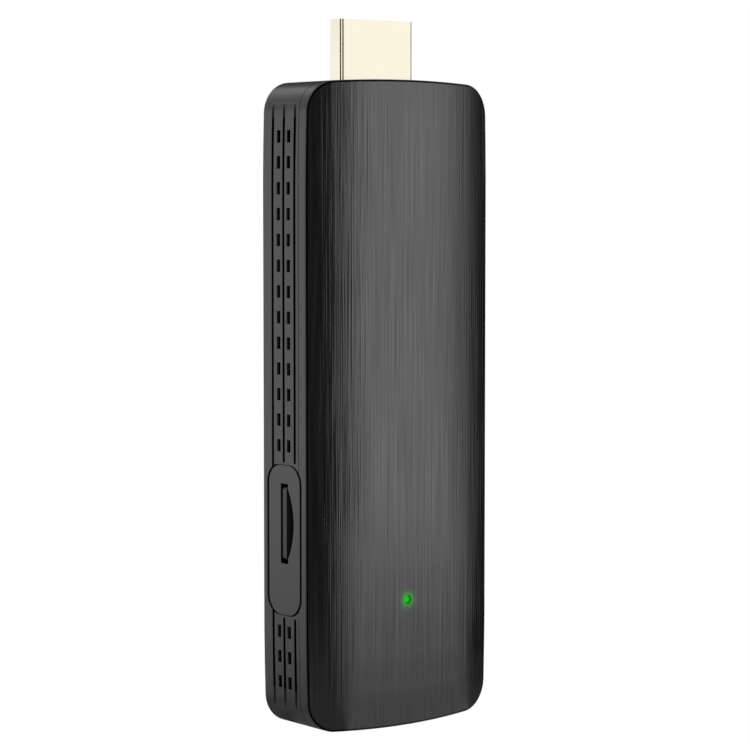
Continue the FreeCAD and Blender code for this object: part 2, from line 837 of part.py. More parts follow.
def board_screws():
    """The two pan-head screws that hold the board to the rear case."""
    screws = []
    for x, z in screw_centres():
        head_top = Vector(x, board_front_y - screw_head_height, z)
        head = rod(Vector(x, board_front_y, z), head_top, screw_head_radius)
        shank = rod(Vector(x, board_front_y, z), Vector(x, board_front_y + screw_length, z), screw_radius)
        screw = fused([head, shank])
        half = screw_drive_width / 2.0
        y_high = head_top.y + screw_drive_depth
        for half_x, half_z in ((half, screw_radius), (screw_radius, half)):
            screw = screw.cut(box(x - half_x, x + half_x, head_top.y, y_high, z - half_z, z + half_z))
        screws.append(screw)
    return Part.makeCompound(screws)


def socket_mouth_x():
    """Where the card socket's mouth lies, behind the card panel."""
    return -half_width + socket_mouth_inset


def card_rear_x():
    """The outer end of the card when it is latched in."""
    return -half_width + card_recess


def socket_end_x():
    """The socket's inner end, clear of the card when it is pushed right in."""
    return card_rear_x() + card_length + card_push_in + socket_end_gap + socket_end_wall


def card_y():
    """The face of the card that looks at the board."""
    return board_front_y - socket_floor - card_floor_gap


def cover_y():
    """The inner face of the socket's sheet cover."""
    return card_y() - card_thickness - card_floor_gap


def card_top_z():
    """The upper long edge of the card."""
    return -card_centre_down + card_width / 2.0


def channel_low_z():
    """The lower side of the slider's channel, above the card."""
    return card_top_z() + card_side_gap


def memory_card():
    """The memory card: narrow inner end, slanted shoulder, and a thicker grip lip at its outer end."""
    rear = card_rear_x()
    inner = rear + card_length
    low = -card_centre_down - card_width / 2.0
    high = card_top_z()
    step = card_width - card_narrow_width
    shoulder = inner - card_narrow_length
    corners = [
        (rear, low),
        (inner, low),
        (inner, high - step),
        (shoulder, high - step),
        (shoulder - step, high),
        (rear, high),
    ]
    wire = outline(corners, card_corner_radius, xz_plane(card_y()))
    body = prism(wire, Vector(0, -card_thickness, 0))
    lip_face = card_y() - card_lip_thickness
    lip = box(rear, rear + card_lip_length, lip_face, card_y() - card_thickness / 2.0, low, high)
    corner_block = prism(wire, Vector(0, -card_lip_thickness, 0))
    return fused([body, lip.common(corner_block)])


def card_socket_base():
    """The socket's moulded tray: floor, rail beside the card, end wall and the slider channel's wall."""
    mouth = socket_mouth_x()
    end = socket_end_x()
    floor_y = board_front_y - socket_floor
    low = -card_centre_down - card_width / 2.0 - card_side_gap - socket_rail
    high = channel_low_z() + slider_channel + socket_outer_wall
    pieces = [
        box(mouth, end, floor_y, board_front_y, low, high),
        box(mouth, end, cover_y(), floor_y, low, low + socket_rail),
        box(end - socket_end_wall, end, cover_y(), floor_y, low, high),
        box(mouth, end, cover_y(), floor_y, high - socket_outer_wall, high),
    ]
    tray = fused(pieces)
    slot = socket_contact_width + slider_gap
    x_high = end - socket_slot_inset
    x_low = x_high - socket_slot_length
    slot_y = board_front_y - socket_slot_skin
    cuts = []
    for z in socket_contact_heights():
        cuts.append(box(x_low, x_high, floor_y, slot_y, z - slot / 2.0, z + slot / 2.0))
    return tray.cut(Part.makeCompound(cuts))


def socket_contact_heights():
    """The height of each contact of the card socket."""
    middle = (socket_contact_count - 1) / 2.0
    narrow_centre = -card_centre_down - (card_width - card_narrow_width) / 2.0
    return [narrow_centre + (index - middle) * socket_contact_pitch for index in range(socket_contact_count)]


def card_socket_contacts():
    """The contact springs that rise from the socket's floor towards the card."""
    end = socket_end_x()
    low_y = board_front_y - socket_slot_skin - socket_contact_thickness / 2.0
    tip_y = card_y() + card_floor_gap / 2.0
    root, rise, touch, tip = socket_contact_bends
    curl_y = tip_y + socket_contact_curl
    points = [(end - root, low_y), (end - rise, low_y), (end - touch, tip_y), (end - tip, curl_y)]
    springs = []
    for z in socket_contact_heights():
        place = lambda a, b: Vector(a, b, z - socket_contact_width / 2.0)
        springs.append(ribbon(points, socket_contact_thickness, place, Vector(0, 0, socket_contact_width)))
    return Part.makeCompound(springs)


def card_socket_cover():
    """The socket's folded sheet cover: a lid with two windows and a skirt down each side."""
    mouth = socket_mouth_x()
    end = socket_end_x()
    low = -card_centre_down - card_width / 2.0 - card_side_gap - socket_rail
    high = channel_low_z() + slider_channel + socket_outer_wall
    lid_y = cover_y() - socket_sheet
    pieces = [
        box(mouth, end, lid_y, cover_y(), low - socket_sheet, high + socket_sheet),
        box(mouth, end, lid_y, board_front_y, low - socket_sheet, low),
        box(mouth, end, lid_y, board_front_y, high, high + socket_sheet),
    ]
    cover = fused(pieces)
    x_low = end - 2.0 * socket_window_length
    x_high = end - socket_window_length
    for side in (-1, 1):
        z_low = -card_centre_down + side * socket_window_pitch / 2.0 - socket_window_width / 2.0
        window = box(x_low, x_high, lid_y - 1.0, cover_y(), z_low, z_low + socket_window_width)
        cover = cover.cut(window)
    return cover


def slider_rear_x():
    """The outer end of the slider at rest, level with the card's shoulder."""
    shoulder = card_rear_x() + card_length - card_narrow_length
    return shoulder - slider_nose_length - slider_nose_gap


def card_slider():
    """The push-push slider: a block in its channel, a nose before the card's shoulder and the latch cam."""
    step = card_width - card_narrow_width
    low = channel_low_z() + slider_gap
    high = channel_low_z() + slider_channel - slider_gap
    floor_y = board_front_y - socket_floor - slider_gap
    top_y = cover_y() + slider_gap
    rear = slider_rear_x()
    block = box(rear, rear + slider_length, top_y, floor_y, low, high)
    shoulder_sum = card_rear_x() + card_length - card_narrow_length - step + card_top_z()
    face_sum = shoulder_sum + card_side_gap * math.sqrt(2.0)
    nose_low = card_top_z() - step + card_side_gap
    nose = [
        (face_sum - low, low),
        (face_sum - nose_low, nose_low),
        (face_sum - nose_low + slider_nose_length, nose_low),
        (face_sum - nose_low + slider_nose_length, low),
    ]
    nose_block = prism(polygon(nose, xz_plane(floor_y)), Vector(0, top_y - floor_y, 0))
    slider = fused([block, nose_block])
    cam_half = latch_wire_radius + latch_side_gap
    cam_low = latch_z() - cam_half
    cam_start = latch_tip_x() - latch_wire_radius - card_push_in - 2.0 * latch_side_gap
    cam_end = rear + slider_length + 1.0
    return slider.cut(box(cam_start, cam_end, top_y - 1.0, top_y + latch_cut_depth, cam_low, high + 1.0))


def latch_z():
    """Height of the latch pin, beside the spring in the slider's channel."""
    return channel_low_z() + slider_channel - slider_gap - latch_wire_radius - latch_side_gap


def latch_tip_x():
    """Where the latch pin's bent tip stands in the slider's cam."""
    return slider_rear_x() + latch_tip_inset


def card_latch_pin():
    """The latch pin: a wire with both ends bent, one in the slider's cam and one in the base."""
    end = socket_end_x() - socket_end_wall - 2.0 * latch_wire_radius
    y = cover_y() + latch_wire_radius + latch_side_gap / 2.0
    z = latch_z()
    tip_x = latch_tip_x()
    tip_y = y + latch_cut_depth - latch_side_gap - latch_wire_radius
    heel_y = board_front_y - socket_floor
    route = [Vector(tip_x, tip_y, z), Vector(tip_x, y, z), Vector(end, y, z), Vector(end, heel_y, z)]
    section = wire_section(route[0], Vector(1, 0, 0), Vector(0, 0, 1), latch_wire_radius, 6)
    return Part.makePolygon(route).makePipeShell([section], True, False, 1)


def card_spring():
    """The slider's coil spring, from the slider to the socket's end wall."""
    start_x = slider_rear_x() + slider_length
    end_x = socket_end_x() - socket_end_wall
    length = end_x - start_x - 2.0 * spring_wire_radius
    pitch = length / spring_turns
    helix = Part.makeHelix(pitch, length, spring_radius)
    start = Vector(spring_radius, 0, 0)
    section = wire_section(start, Vector(1, 0, 0), Vector(0, 0, 1), spring_wire_radius, 4)
    coil = Part.Wire(helix).makePipeShell([section], True, True)
    coil.rotate(Vector(0, 0, 0), Vector(0, 1, 0), 90)
    y = (board_front_y - socket_floor + cover_y()) / 2.0
    z = channel_low_z() + slider_gap + spring_radius + spring_wire_radius
    coil.translate(Vector(start_x + spring_wire_radius, y, z))
    print("spring: least gap between turns", round(pitch - 2.0 * spring_wire_radius, 3), "mm")
    return coil


def usb_mouth_z():
    """The open end of the USB socket."""
    return -body_height + usb_recess


def usb_shell():
    """The USB socket's sheet shell, with its spring fingers cut free and four board tabs."""
    mouth = usb_mouth_z()
    inner = mouth + usb_length
    tube = usb_prism(0.0, mouth, inner).cut(usb_prism(usb_sheet, mouth - 1.0, inner + 1.0))
    cuts = []
    finger_root = mouth + usb_finger_root
    finger_tip = finger_root - usb_finger_length
    for x in (-usb_width / 4.0, usb_width / 4.0):
        half_cut = usb_finger_width / 2.0 + usb_finger_slot
        half_finger = usb_finger_width / 2.0
        for z_low, z_high, x_low, x_high in (
            (finger_tip - usb_finger_slot, finger_tip, x - half_cut, x + half_cut),
            (finger_tip, finger_root, x - half_cut, x - half_finger),
            (finger_tip, finger_root, x + half_finger, x + half_cut),
        ):
            cuts.append(box(x_low, x_high, -2.0 * usb_height, 2.0 * usb_height, z_low, z_high))
    tube = tube.cut(Part.makeCompound(cuts))
    pieces = [tube]
    for side in (-1, 1):
        x_root = side * (usb_width / 2.0 - usb_sheet)
        x_tip = side * (usb_width / 2.0 + usb_tab_length)
        x_low = min(x_root, x_tip)
        x_high = max(x_root, x_tip)
        for inset in usb_tab_insets:
            z_low = mouth + inset - usb_tab_width / 2.0
            z_high = z_low + usb_tab_width
            pieces.append(box(x_low, x_high, board_front_y - usb_sheet, board_front_y, z_low, z_high))
    return fused(pieces)


def usb_tongue_y():
    """The two faces of the USB socket's tongue, front one first."""
    front = -usb_centre_depth - usb_height / 2.0 + usb_sheet + usb_tongue_gap
    return front, front + usb_tongue_thickness


def usb_tongue():
    """The USB socket's insulator: a block that closes the shell and the tongue that stands in it."""
    mouth = usb_mouth_z()
    inner = mouth + usb_length
    front, back = usb_tongue_y()
    block = usb_prism(usb_sheet + plug_insulator_gap, inner - usb_base_length, inner)
    half = usb_tongue_width / 2.0
    tongue_end = inner - usb_base_length - usb_tongue_length
    tongue = box(-half, half, front, back, tongue_end, inner - usb_base_length / 2.0)
    body = fused([block, tongue])
    cuts = []
    for x in usb_contact_offsets:
        reach = usb_contact_width / 2.0 + plug_insulator_gap
        y_low = back - usb_contact_thickness / 2.0 - plug_insulator_gap
        y_high = back + usb_contact_thickness / 2.0 + plug_insulator_gap
        z_low = tongue_end + usb_contact_tip_inset - plug_insulator_gap
        cuts.append(box(x - reach, x + reach, y_low, y_high, z_low, inner + 1.0))
    return body.cut(Part.makeCompound(cuts))


def usb_contacts():
    """The four USB contacts, let into the tongue and bent down to the board."""
    inner = usb_mouth_z() + usb_length
    back = usb_tongue_y()[1]
    tongue_end = inner - usb_base_length - usb_tongue_length
    tail_y = board_front_y - usb_contact_thickness / 2.0
    leave, land, tail = usb_contact_bends
    points = [
        (tongue_end + usb_contact_tip_inset, back),
        (inner + leave, back),
        (inner + land, tail_y),
        (inner + tail, tail_y),
    ]
    strips = []
    for x in usb_contact_offsets:
        place = lambda a, b: Vector(x - usb_contact_width / 2.0, b, a)
        strips.append(ribbon(points, usb_contact_thickness, place, Vector(usb_contact_width, 0, 0)))
    return Part.makeCompound(strips)


def inlet_prism(inset, x_low, x_high):
    """The power inlet's D shape as a solid between two distances across the stick.

    The sheet's outside is rounded at its bends, and what lies inside it has plain corners.
    """
    corners = d_corners(inlet_length, inlet_height, inlet_side, inlet_narrow_length, inset)
    place = inlet_plane(x_low)
    wire = outline(corners, inlet_bend_radius, place) if inset == 0 else polygon(corners, place)
    return prism(wire, Vector(x_high - x_low, 0, 0))


def inlet_shell():
    """The power inlet's sheet shell."""
    mouth = half_width - inlet_recess
    inner = mouth - inlet_reach
    shell = inlet_prism(0.0, inner, mouth)
    return shell.cut(inlet_prism(inlet_sheet, inner - 1.0, mouth + 1.0))


def inlet_tongue():
    """The power inlet's insulator, with its tongue and a groove for each contact."""
    inner = half_width - inlet_recess - inlet_reach
    base = inlet_prism(inlet_sheet + plug_insulator_gap, inner, inner + inlet_base)
    y = board_front_y - inlet_height / 2.0
    half = inlet_tongue_length / 2.0
    tongue = box(
        inner + inlet_base / 2.0, inner + inlet_base + inlet_tongue_reach,
        y - inlet_tongue_thickness, y, inlet_z() - half, inlet_z() + half
    )
    body = fused([base, tongue])
    cuts = []
    for z in inlet_contact_heights():
        reach = inlet_contact_width / 2.0 + inlet_contact_gap
        y_low = y - inlet_contact_thickness / 2.0 - inlet_contact_gap
        y_high = y + inlet_contact_thickness / 2.0 + inlet_contact_gap
        x_high = inner + inlet_base + inlet_tongue_reach - inlet_contact_tip_inset + inlet_contact_gap
        cuts.append(box(inner - 1.0, x_high, y_low, y_high, z - reach, z + reach))
    return body.cut(Part.makeCompound(cuts))


def inlet_contact_heights():
    """The height of each contact of the power inlet."""
    middle = (inlet_contact_count - 1) / 2.0
    return [inlet_z() + (index - middle) * inlet_contact_pitch for index in range(inlet_contact_count)]


def inlet_contacts():
    """The power inlet's contacts, along the tongue and down to the board behind the shell."""
    inner = half_width - inlet_recess - inlet_reach
    y = board_front_y - inlet_height / 2.0
    tail_y = board_front_y - inlet_contact_thickness / 2.0
    leave, land, tail = inlet_contact_bends
    points = [
        (inner + inlet_base + inlet_tongue_reach - inlet_contact_tip_inset, y),
        (inner - leave, y),
        (inner - land, tail_y),
        (inner - tail, tail_y),
    ]
    strips = []
    for z in inlet_contact_heights():
        place = lambda a, b: Vector(a, b, z - inlet_contact_width / 2.0)
        strips.append(ribbon(points, inlet_contact_thickness, place, Vector(0, 0, inlet_contact_width)))
    return Part.makeCompound(strips)


def reset_base():
    """The reset switch's housing, open towards the pin-hole."""
    outer = half_width - reset_inset
    z = reset_z()
    half = reset_base_length / 2.0
    housing = box(
        outer - reset_base_reach, outer, board_front_y - reset_base_height, board_front_y, z - half, z + half
    )
    hollow_half_z = reset_plunger_length / 2.0 + reset_gap
    hollow_half_y = reset_plunger_height / 2.0 + reset_gap
    depth = reset_plunger_reach + reset_travel + reset_gap
    hollow = box(
        outer - depth, outer + 1.0, -reset_depth - hollow_half_y, -reset_depth + hollow_half_y,
        z - hollow_half_z, z + hollow_half_z
    )
    return housing.cut(hollow)


def reset_plunger():
    """The reset switch's plunger, whose tip waits behind the pin-hole."""
    outer = half_width - reset_inset
    tip = panel_flange_x - reset_tip_gap
    half_z = reset_plunger_length / 2.0
    half_y = reset_plunger_height / 2.0
    z = reset_z()
    stem = box(
        outer - reset_plunger_reach, tip, -reset_depth - half_y, -reset_depth + half_y, z - half_z, z + half_z
    )
    end_edges = [edge for edge in stem.Edges if edge.BoundBox.XMin > tip - 0.01]
    return stem.makeChamfer(reset_tip_chamfer, end_edges)


def light_pipe():
    """The clear light pipe with its square flange, from above the status light to just under the face."""
    led_top = board_front_y - led_thickness - light_gap
    base = Vector(light_offset, led_top, -light_down)
    boss_end = crest_y + plate_thickness + cover_skin + light_boss_length
    shoulder_y = boss_end + light_pipe_gap
    tip = Vector(light_offset, crest_y + light_pipe_recess, -light_down)
    half = light_pipe_flange_width / 2.0
    flange = box(
        light_offset - half, light_offset + half,
        shoulder_y, shoulder_y + light_pipe_flange_length,
        -light_down - half, -light_down + half,
    )
    return fused([rod(base, tip, light_pipe_radius), flange])


def chip(size, x, down):
    """A flat package on the front of the board, with its upper edges eased."""
    width, height, thickness = size
    base_y = board_front_y
    x_low = x - width / 2.0
    z_low = -down - height / 2.0
    body = box(x_low, x_low + width, base_y - thickness, base_y, z_low, z_low + height)
    top_edges = [edge for edge in body.Edges if edge.BoundBox.YMax < base_y - thickness + 0.01]
    return body.makeChamfer(min(chip_edge_ease, thickness / 5.0), top_edges)


def status_led():
    """The status light, soldered to the board under the light pipe."""
    return chip((led_width, led_height, led_thickness), light_offset, light_down)


def processor():
    """The processor in its square package."""
    return chip(processor_size, 0.0, processor_down)


def memory_chips():
    """The two memory chips that fill the board's width beside the processor."""
    start = processor_size[0] / 2.0 + chip_gap
    width = board_half_width - board_edge_gap - start
    size = (width, memory_height, memory_thickness)
    offset = start + width / 2.0
    return Part.makeCompound([chip(size, side * offset, processor_down) for side in (-1, 1)])


def flash_chip():
    """The flash storage chip."""
    return chip(flash_size, flash_offset, processor_down + flash_below_processor)


def power_chip():
    """The power supply chip."""
    return chip(power_chip_size, power_chip_offset, body_height - power_chip_above_bottom)


def shield_half_width():
    """Half the width of the shield over the wireless module."""
    return wireless_size[0] / 2.0 + shield_margin + shield_sheet


def wireless_centre():
    """The middle of the wireless module, beside the board's edge, as x and distance down."""
    return shield_half_width() + board_edge_gap - board_half_width, processor_down + wireless_below_processor


def wireless_module():
    """The wireless module's small board."""
    return chip(wireless_size, *wireless_centre())


def wireless_shield():
    """The tin shield over the wireless module, a box open towards the board."""
    width = 2.0 * shield_half_width()
    height = wireless_size[1] + 2.0 * (shield_margin + shield_sheet)
    x, down = wireless_centre()
    shield = chip((width, height, shield_height), x, down)
    inner = (width - 2.0 * shield_sheet, height - 2.0 * shield_sheet)
    low_x = x - inner[0] / 2.0
    low_z = -down - inner[1] / 2.0
    hollow_y = board_front_y - shield_height + shield_sheet
    return shield.cut(box(low_x, low_x + inner[0], hollow_y, board_front_y, low_z, low_z + inner[1]))


def crystals():
    """The two clock crystals above the processor."""
    down = processor_down - crystal_above_processor
    return Part.makeCompound([chip(crystal_size, side * crystal_offset, down) for side in (-1, 1)])


def inductors():
    """The power supply's row of inductors."""
    contact_end = half_width - inlet_recess - inlet_reach - inlet_contact_bends[2]
    x = contact_end - inductor_inlet_gap - inductor_size[0] / 2.0
    top = body_height - inductor_above_bottom
    places_down = [top + index * inductor_pitch for index in range(inductor_count)]
    return Part.makeCompound([chip(inductor_size, x, down) for down in places_down])


def capacitors():
    """Two rows of small capacitors, above and below the processor's neighbours."""
    width, height, thickness = capacitor_size
    top_y = board_front_y - thickness
    first = -((capacitor_row_count - 1) * capacitor_pitch + width) / 2.0
    blocks = []
    for index in range(capacitor_row_count):
        x_low = first + index * capacitor_pitch
        for row in (-1, 1):
            z_low = row * capacitor_row_reach - processor_down - height / 2.0
            blocks.append(box(x_low, x_low + width, top_y, board_front_y, z_low, z_low + height))
    return Part.makeCompound(blocks)


def thermal_pad():
    """The soft pad between the processor and the heat spreader."""
    width, height, thickness = processor_size
    top = board_front_y - thickness
    z_low = -processor_down - height / 2.0
    return box(-width / 2.0, width / 2.0, top - pad_thickness, top, z_low, z_low + height)


def heat_spreader():
    """The aluminium heat spreader: a plate on the thermal pad with a row of fins."""
    plate_y = board_front_y - processor_size[2] - pad_thickness
    fin_y = plate_y - spreader_base
    half_plate = board_half_width - spreader_edge_gap
    low_z = -processor_down - spreader_height / 2.0
    high_z = low_z + spreader_height
    pieces = [box(-half_plate, half_plate, fin_y, plate_y, low_z, high_z)]
    first = spreader_fin_inset - half_plate
    pitch = (-2.0 * first - spreader_fin_thickness) / (spreader_fin_count - 1)
    for index in range(spreader_fin_count):
        x = first + index * pitch
        pieces.append(box(x, x + spreader_fin_thickness, fin_y - spreader_fin_height, fin_y, low_z, high_z))
    return fused(pieces)


def antenna():
    """The stamped antenna: a strip that stands on two legs at the board's lower corner."""
    x_high = board_half_width - board_edge_gap
    x_low = usb_width / 2.0 + antenna_usb_gap
    feed_x = x_high - antenna_feed_inset
    feed_low_x = feed_x - antenna_feed_width
    z_low = -body_height + antenna_above_bottom - antenna_width / 2.0
    z_high = z_low + antenna_width
    top = board_front_y - antenna_height
    feed_z = z_high + antenna_feed_reach
    pieces = [
        box(x_low, x_high, top, top + antenna_sheet, z_low, z_high),
        box(x_high - antenna_sheet, x_high, top, board_front_y, z_low, z_high),
        box(feed_low_x, feed_x, top, top + antenna_sheet, z_high, feed_z),
        box(feed_low_x, feed_x, top, board_front_y, feed_z - antenna_sheet, feed_z),
    ]
    return fused(pieces)


nodes = {
    "front_cover": front_cover,
    "front_plate": front_plate,
    "rear_case": rear_case,
    "card_panel": card_panel,
    "port_panel": port_panel,
    "plug_shell": plug_shell,
    "plug_insulator": plug_insulator,
    "plug_contacts": plug_contacts,
    "main_board": main_board,
    "board_screws": board_screws,
    "memory_card": memory_card,
    "card_socket_base": card_socket_base,
    "card_socket_cover": card_socket_cover,
    "card_socket_contacts": card_socket_contacts,
    "card_slider": card_slider,
    "card_latch_pin": card_latch_pin,
    "card_spring": card_spring,
    "usb_shell": usb_shell,
    "usb_tongue": usb_tongue,
    "usb_contacts": usb_contacts,
    "inlet_shell": inlet_shell,
    "inlet_tongue": inlet_tongue,
    "inlet_contacts": inlet_contacts,
    "reset_base": reset_base,
    "reset_plunger": reset_plunger,
    "light_pipe": light_pipe,
    "status_led": status_led,
    "processor": processor,
    "memory_chips": memory_chips,
    "flash_chip": flash_chip,
    "power_chip": power_chip,
    "wireless_module": wireless_module,
    "wireless_shield": wireless_shield,
    "crystals": crystals,
    "inductors": inductors,
    "capacitors": capacitors,
    "thermal_pad": thermal_pad,
    "heat_spreader": heat_spreader,
    "antenna": antenna,
}

os.makedirs("parts", exist_ok=True)
for name, make in nodes.items():
    shape = make()
    shape.exportStep("parts/" + name + ".step")
    print(name, "solids", len(shape.Solids), "valid", shape.isValid(), "volume", round(shape.Volume, 2))
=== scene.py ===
import math
import bpy
import numpy as np
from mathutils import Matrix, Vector


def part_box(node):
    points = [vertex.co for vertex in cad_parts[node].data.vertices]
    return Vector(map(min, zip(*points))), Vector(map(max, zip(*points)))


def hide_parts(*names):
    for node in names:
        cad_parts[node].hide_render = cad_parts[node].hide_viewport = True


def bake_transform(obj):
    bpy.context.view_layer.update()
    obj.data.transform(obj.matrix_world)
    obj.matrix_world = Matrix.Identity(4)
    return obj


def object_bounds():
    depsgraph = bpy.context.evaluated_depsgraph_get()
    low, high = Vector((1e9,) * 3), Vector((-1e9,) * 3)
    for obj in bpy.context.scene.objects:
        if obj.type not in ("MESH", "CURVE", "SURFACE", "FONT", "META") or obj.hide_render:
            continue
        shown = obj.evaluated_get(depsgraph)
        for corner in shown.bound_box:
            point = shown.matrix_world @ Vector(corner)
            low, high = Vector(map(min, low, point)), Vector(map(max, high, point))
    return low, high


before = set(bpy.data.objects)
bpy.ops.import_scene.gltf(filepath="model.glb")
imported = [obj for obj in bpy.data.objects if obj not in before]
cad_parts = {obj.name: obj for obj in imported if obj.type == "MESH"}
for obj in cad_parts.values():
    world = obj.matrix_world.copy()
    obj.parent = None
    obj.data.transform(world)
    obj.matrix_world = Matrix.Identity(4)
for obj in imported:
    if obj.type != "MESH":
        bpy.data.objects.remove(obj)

cad_low, cad_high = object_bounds()
mm = 0.001


# The camera stands a good arm's length away, to the front left of the stick and a little above its middle,
# with a long lens, level across and tipped slightly down.
camera_place = (-246.999 * mm, -317.948 * mm, -16.980 * mm)
camera_turn = math.radians(-37.983)
camera_tilt = math.radians(4.031)
camera_lens = 124.58

camera_data = bpy.data.cameras.new("camera")
camera_data.lens = camera_lens
camera_data.sensor_width = 36.0
camera_data.clip_start = 0.01
camera_data.clip_end = 20.0
camera = bpy.data.objects.new("camera", camera_data)
bpy.context.scene.collection.objects.link(camera)
camera.location = camera_place
camera.rotation_euler = (math.pi / 2.0 - camera_tilt, 0.0, camera_turn)
bpy.context.scene.camera = camera
bpy.context.scene.view_settings.view_transform = "Standard"


# The studio: a white room that the camera and every gloss see at full white, a dimmer light from all round,
# and one soft square lamp high on the left, a little behind the stick.
def node_tree(holder):
    """Empties a material's or a world's node tree and gives it back with its output node."""
    holder.use_nodes = True
    tree = holder.node_tree
    tree.nodes.clear()
    kind = "ShaderNodeOutputWorld" if isinstance(holder, bpy.types.World) else "ShaderNodeOutputMaterial"
    return tree, tree.nodes.new(kind)


def add(tree, kind, inputs=None, **settings):
    """A new node with its settings, and with inputs fed by a value or by another node's socket."""
    made = tree.nodes.new(kind)
    for key, value in settings.items():
        setattr(made, key, value)
    for key, value in (inputs or {}).items():
        if isinstance(value, bpy.types.NodeSocket):
            tree.links.new(value, made.inputs[key])
        else:
            made.inputs[key].default_value = value
    return made


def maths(tree, operation, *values):
    """The result of a Math node that works on numbers or on other nodes' sockets."""
    return add(tree, "ShaderNodeMath", dict(enumerate(values)), operation=operation).outputs[0]


def background_rays(tree):
    """One for a ray from the camera, a gloss or a glass, and nought for a ray of scattered light."""
    path = add(tree, "ShaderNodeLightPath")
    direct = maths(tree, "MAXIMUM", path.outputs["Is Camera Ray"], path.outputs["Is Glossy Ray"])
    return maths(tree, "MAXIMUM", direct, path.outputs["Is Transmission Ray"])


pure_white = (1.0, 1.0, 1.0, 1.0)
room_glow = 0.55
stick_middle = Vector((0.0, -1.7 * mm, -49.5 * mm))
lamp_azimuth = math.radians(-120.0)
lamp_rise = math.radians(30.0)
lamp_distance = 0.9
lamp_side = 0.5
lamp_watts = 4.0

world = bpy.data.worlds.new("studio")
bpy.context.scene.world = world
tree, output = node_tree(world)
white = add(tree, "ShaderNodeBackground", {"Color": pure_white, "Strength": 1.0})
glow = add(tree, "ShaderNodeBackground", {"Color": pure_white, "Strength": room_glow})
mix = add(tree, "ShaderNodeMixShader", {0: background_rays(tree), 1: glow.outputs[0], 2: white.outputs[0]})
tree.links.new(mix.outputs[0], output.inputs["Surface"])

lamp_data = bpy.data.lights.new("left_lamp", "AREA")
lamp_data.shape = "SQUARE"
lamp_data.size = lamp_side
lamp_data.energy = lamp_watts
lamp = bpy.data.objects.new("left_lamp", lamp_data)
bpy.context.scene.collection.objects.link(lamp)
away = Vector((math.sin(lamp_azimuth), -math.cos(lamp_azimuth), 0.0)) * math.cos(lamp_rise)
away.z = math.sin(lamp_rise)
lamp.location = stick_middle + away * lamp_distance
lamp.rotation_euler = (-away).to_track_quat("-Z", "Y").to_euler()


# The floor is a wide pale sheet just under the stick. It shows as plain white from above, and a view from
# below looks through it.
floor_reach = 3.0
floor_height = cad_low.z - 0.05 * mm
floor_tone = (0.8, 0.8, 0.8, 1.0)

corner_sides = ((-1.0, -1.0), (1.0, -1.0), (1.0, 1.0), (-1.0, 1.0))
corners = [(x * floor_reach, y * floor_reach, floor_height) for x, y in corner_sides]
floor_mesh = bpy.data.meshes.new("floor")
floor_mesh.from_pydata(corners, [], [(0, 1, 2, 3)])
floor = bpy.data.objects.new("floor", floor_mesh)
bpy.context.scene.collection.objects.link(floor)
floor_paint = bpy.data.materials.new("floor_paint")
tree, output = node_tree(floor_paint)
matt = add(tree, "ShaderNodeBsdfDiffuse", {"Color": floor_tone}).outputs[0]
shine = add(tree, "ShaderNodeEmission", {"Color": pure_white, "Strength": 1.0}).outputs[0]
above = add(tree, "ShaderNodeMixShader", {0: background_rays(tree), 1: matt, 2: shine}).outputs[0]
below = add(tree, "ShaderNodeBsdfTransparent").outputs[0]
backfacing = add(tree, "ShaderNodeNewGeometry").outputs["Backfacing"]
faced = add(tree, "ShaderNodeMixShader", {0: backfacing, 1: above, 2: below})
tree.links.new(faced.outputs[0], output.inputs["Surface"])
floor_mesh.materials.append(floor_paint)
floor.visible_glossy = False


# Cards stand round the stick and lie under it, as a photographer sets them, so that the black casing shows a
# light front between dark edges, and a grey foot. The camera doesn't see them, and they take no light away.
card_ring = 0.7
card_low = floor_height + 0.01 * mm
card_high = 0.85
card_steps = 48
foot_ring = 0.11
corner_ring = 0.035
card_black = 0.01
card_dark = 0.055
card_pale = 0.9
upright = (card_ring, card_low, card_ring, card_high)
lying = (foot_ring, card_low, card_ring, card_low)
# Each card has two azimuths in degrees, the radius and height of one edge, those of the other, and a tone.
round_cards = {
    "left_card": (-122.0, -68.0, *upright, card_black),
    "front_card": (-30.0, 21.5, *upright, card_dark),
    "right_card": (62.5, 100.0, *upright, card_black),
    "top_card": (112.0, 168.0, card_ring, -0.09, card_ring, 0.58, card_black),
    "edge_card": (184.0, 203.0, card_ring, card_low, card_ring, 0.02, card_black),
    "back_card": (196.0, 238.0, card_ring, 0.08, card_ring, 0.60, card_black),
    "roof_card": (-75.0, 120.0, card_ring, card_high, 0.12, card_high, card_black),
    "left_floor_card": (-122.0, -68.0, *lying, card_black),
    "front_floor_card": (-13.0, 21.5, *lying, card_dark),
    "right_floor_card": (62.5, 100.0, *lying, card_black),
    "edge_floor_card": (184.0, 203.0, *lying, card_black),
    "corner_foot_card": (165.0, 270.0, 0.0, card_low, corner_ring, card_low, card_black),
}
# Slate-grey cards lie at the stick's foot in three rings, whose tones lead over to what lies farther out.
foot_edges = (0.0, 0.04, 0.07, foot_ring)
foot_cards = {
    "left_foot": (-122.0, -68.0, (0.15, 0.10, 0.05)), "side_foot": (-68.0, -13.0, (0.15, 0.22, 0.34)),
    "front_foot": (-13.0, 21.5, (0.15, 0.12, 0.085)), "right_foot": (57.5, 100.0, (0.15, 0.10, 0.05)),
}
for name, (start, end, tones) in foot_cards.items():
    for ring, tone in enumerate(tones):
        near, far = foot_edges[ring:ring + 2]
        round_cards["%s_%d" % (name, ring)] = (start, end, near, card_low, far, card_low, tone)
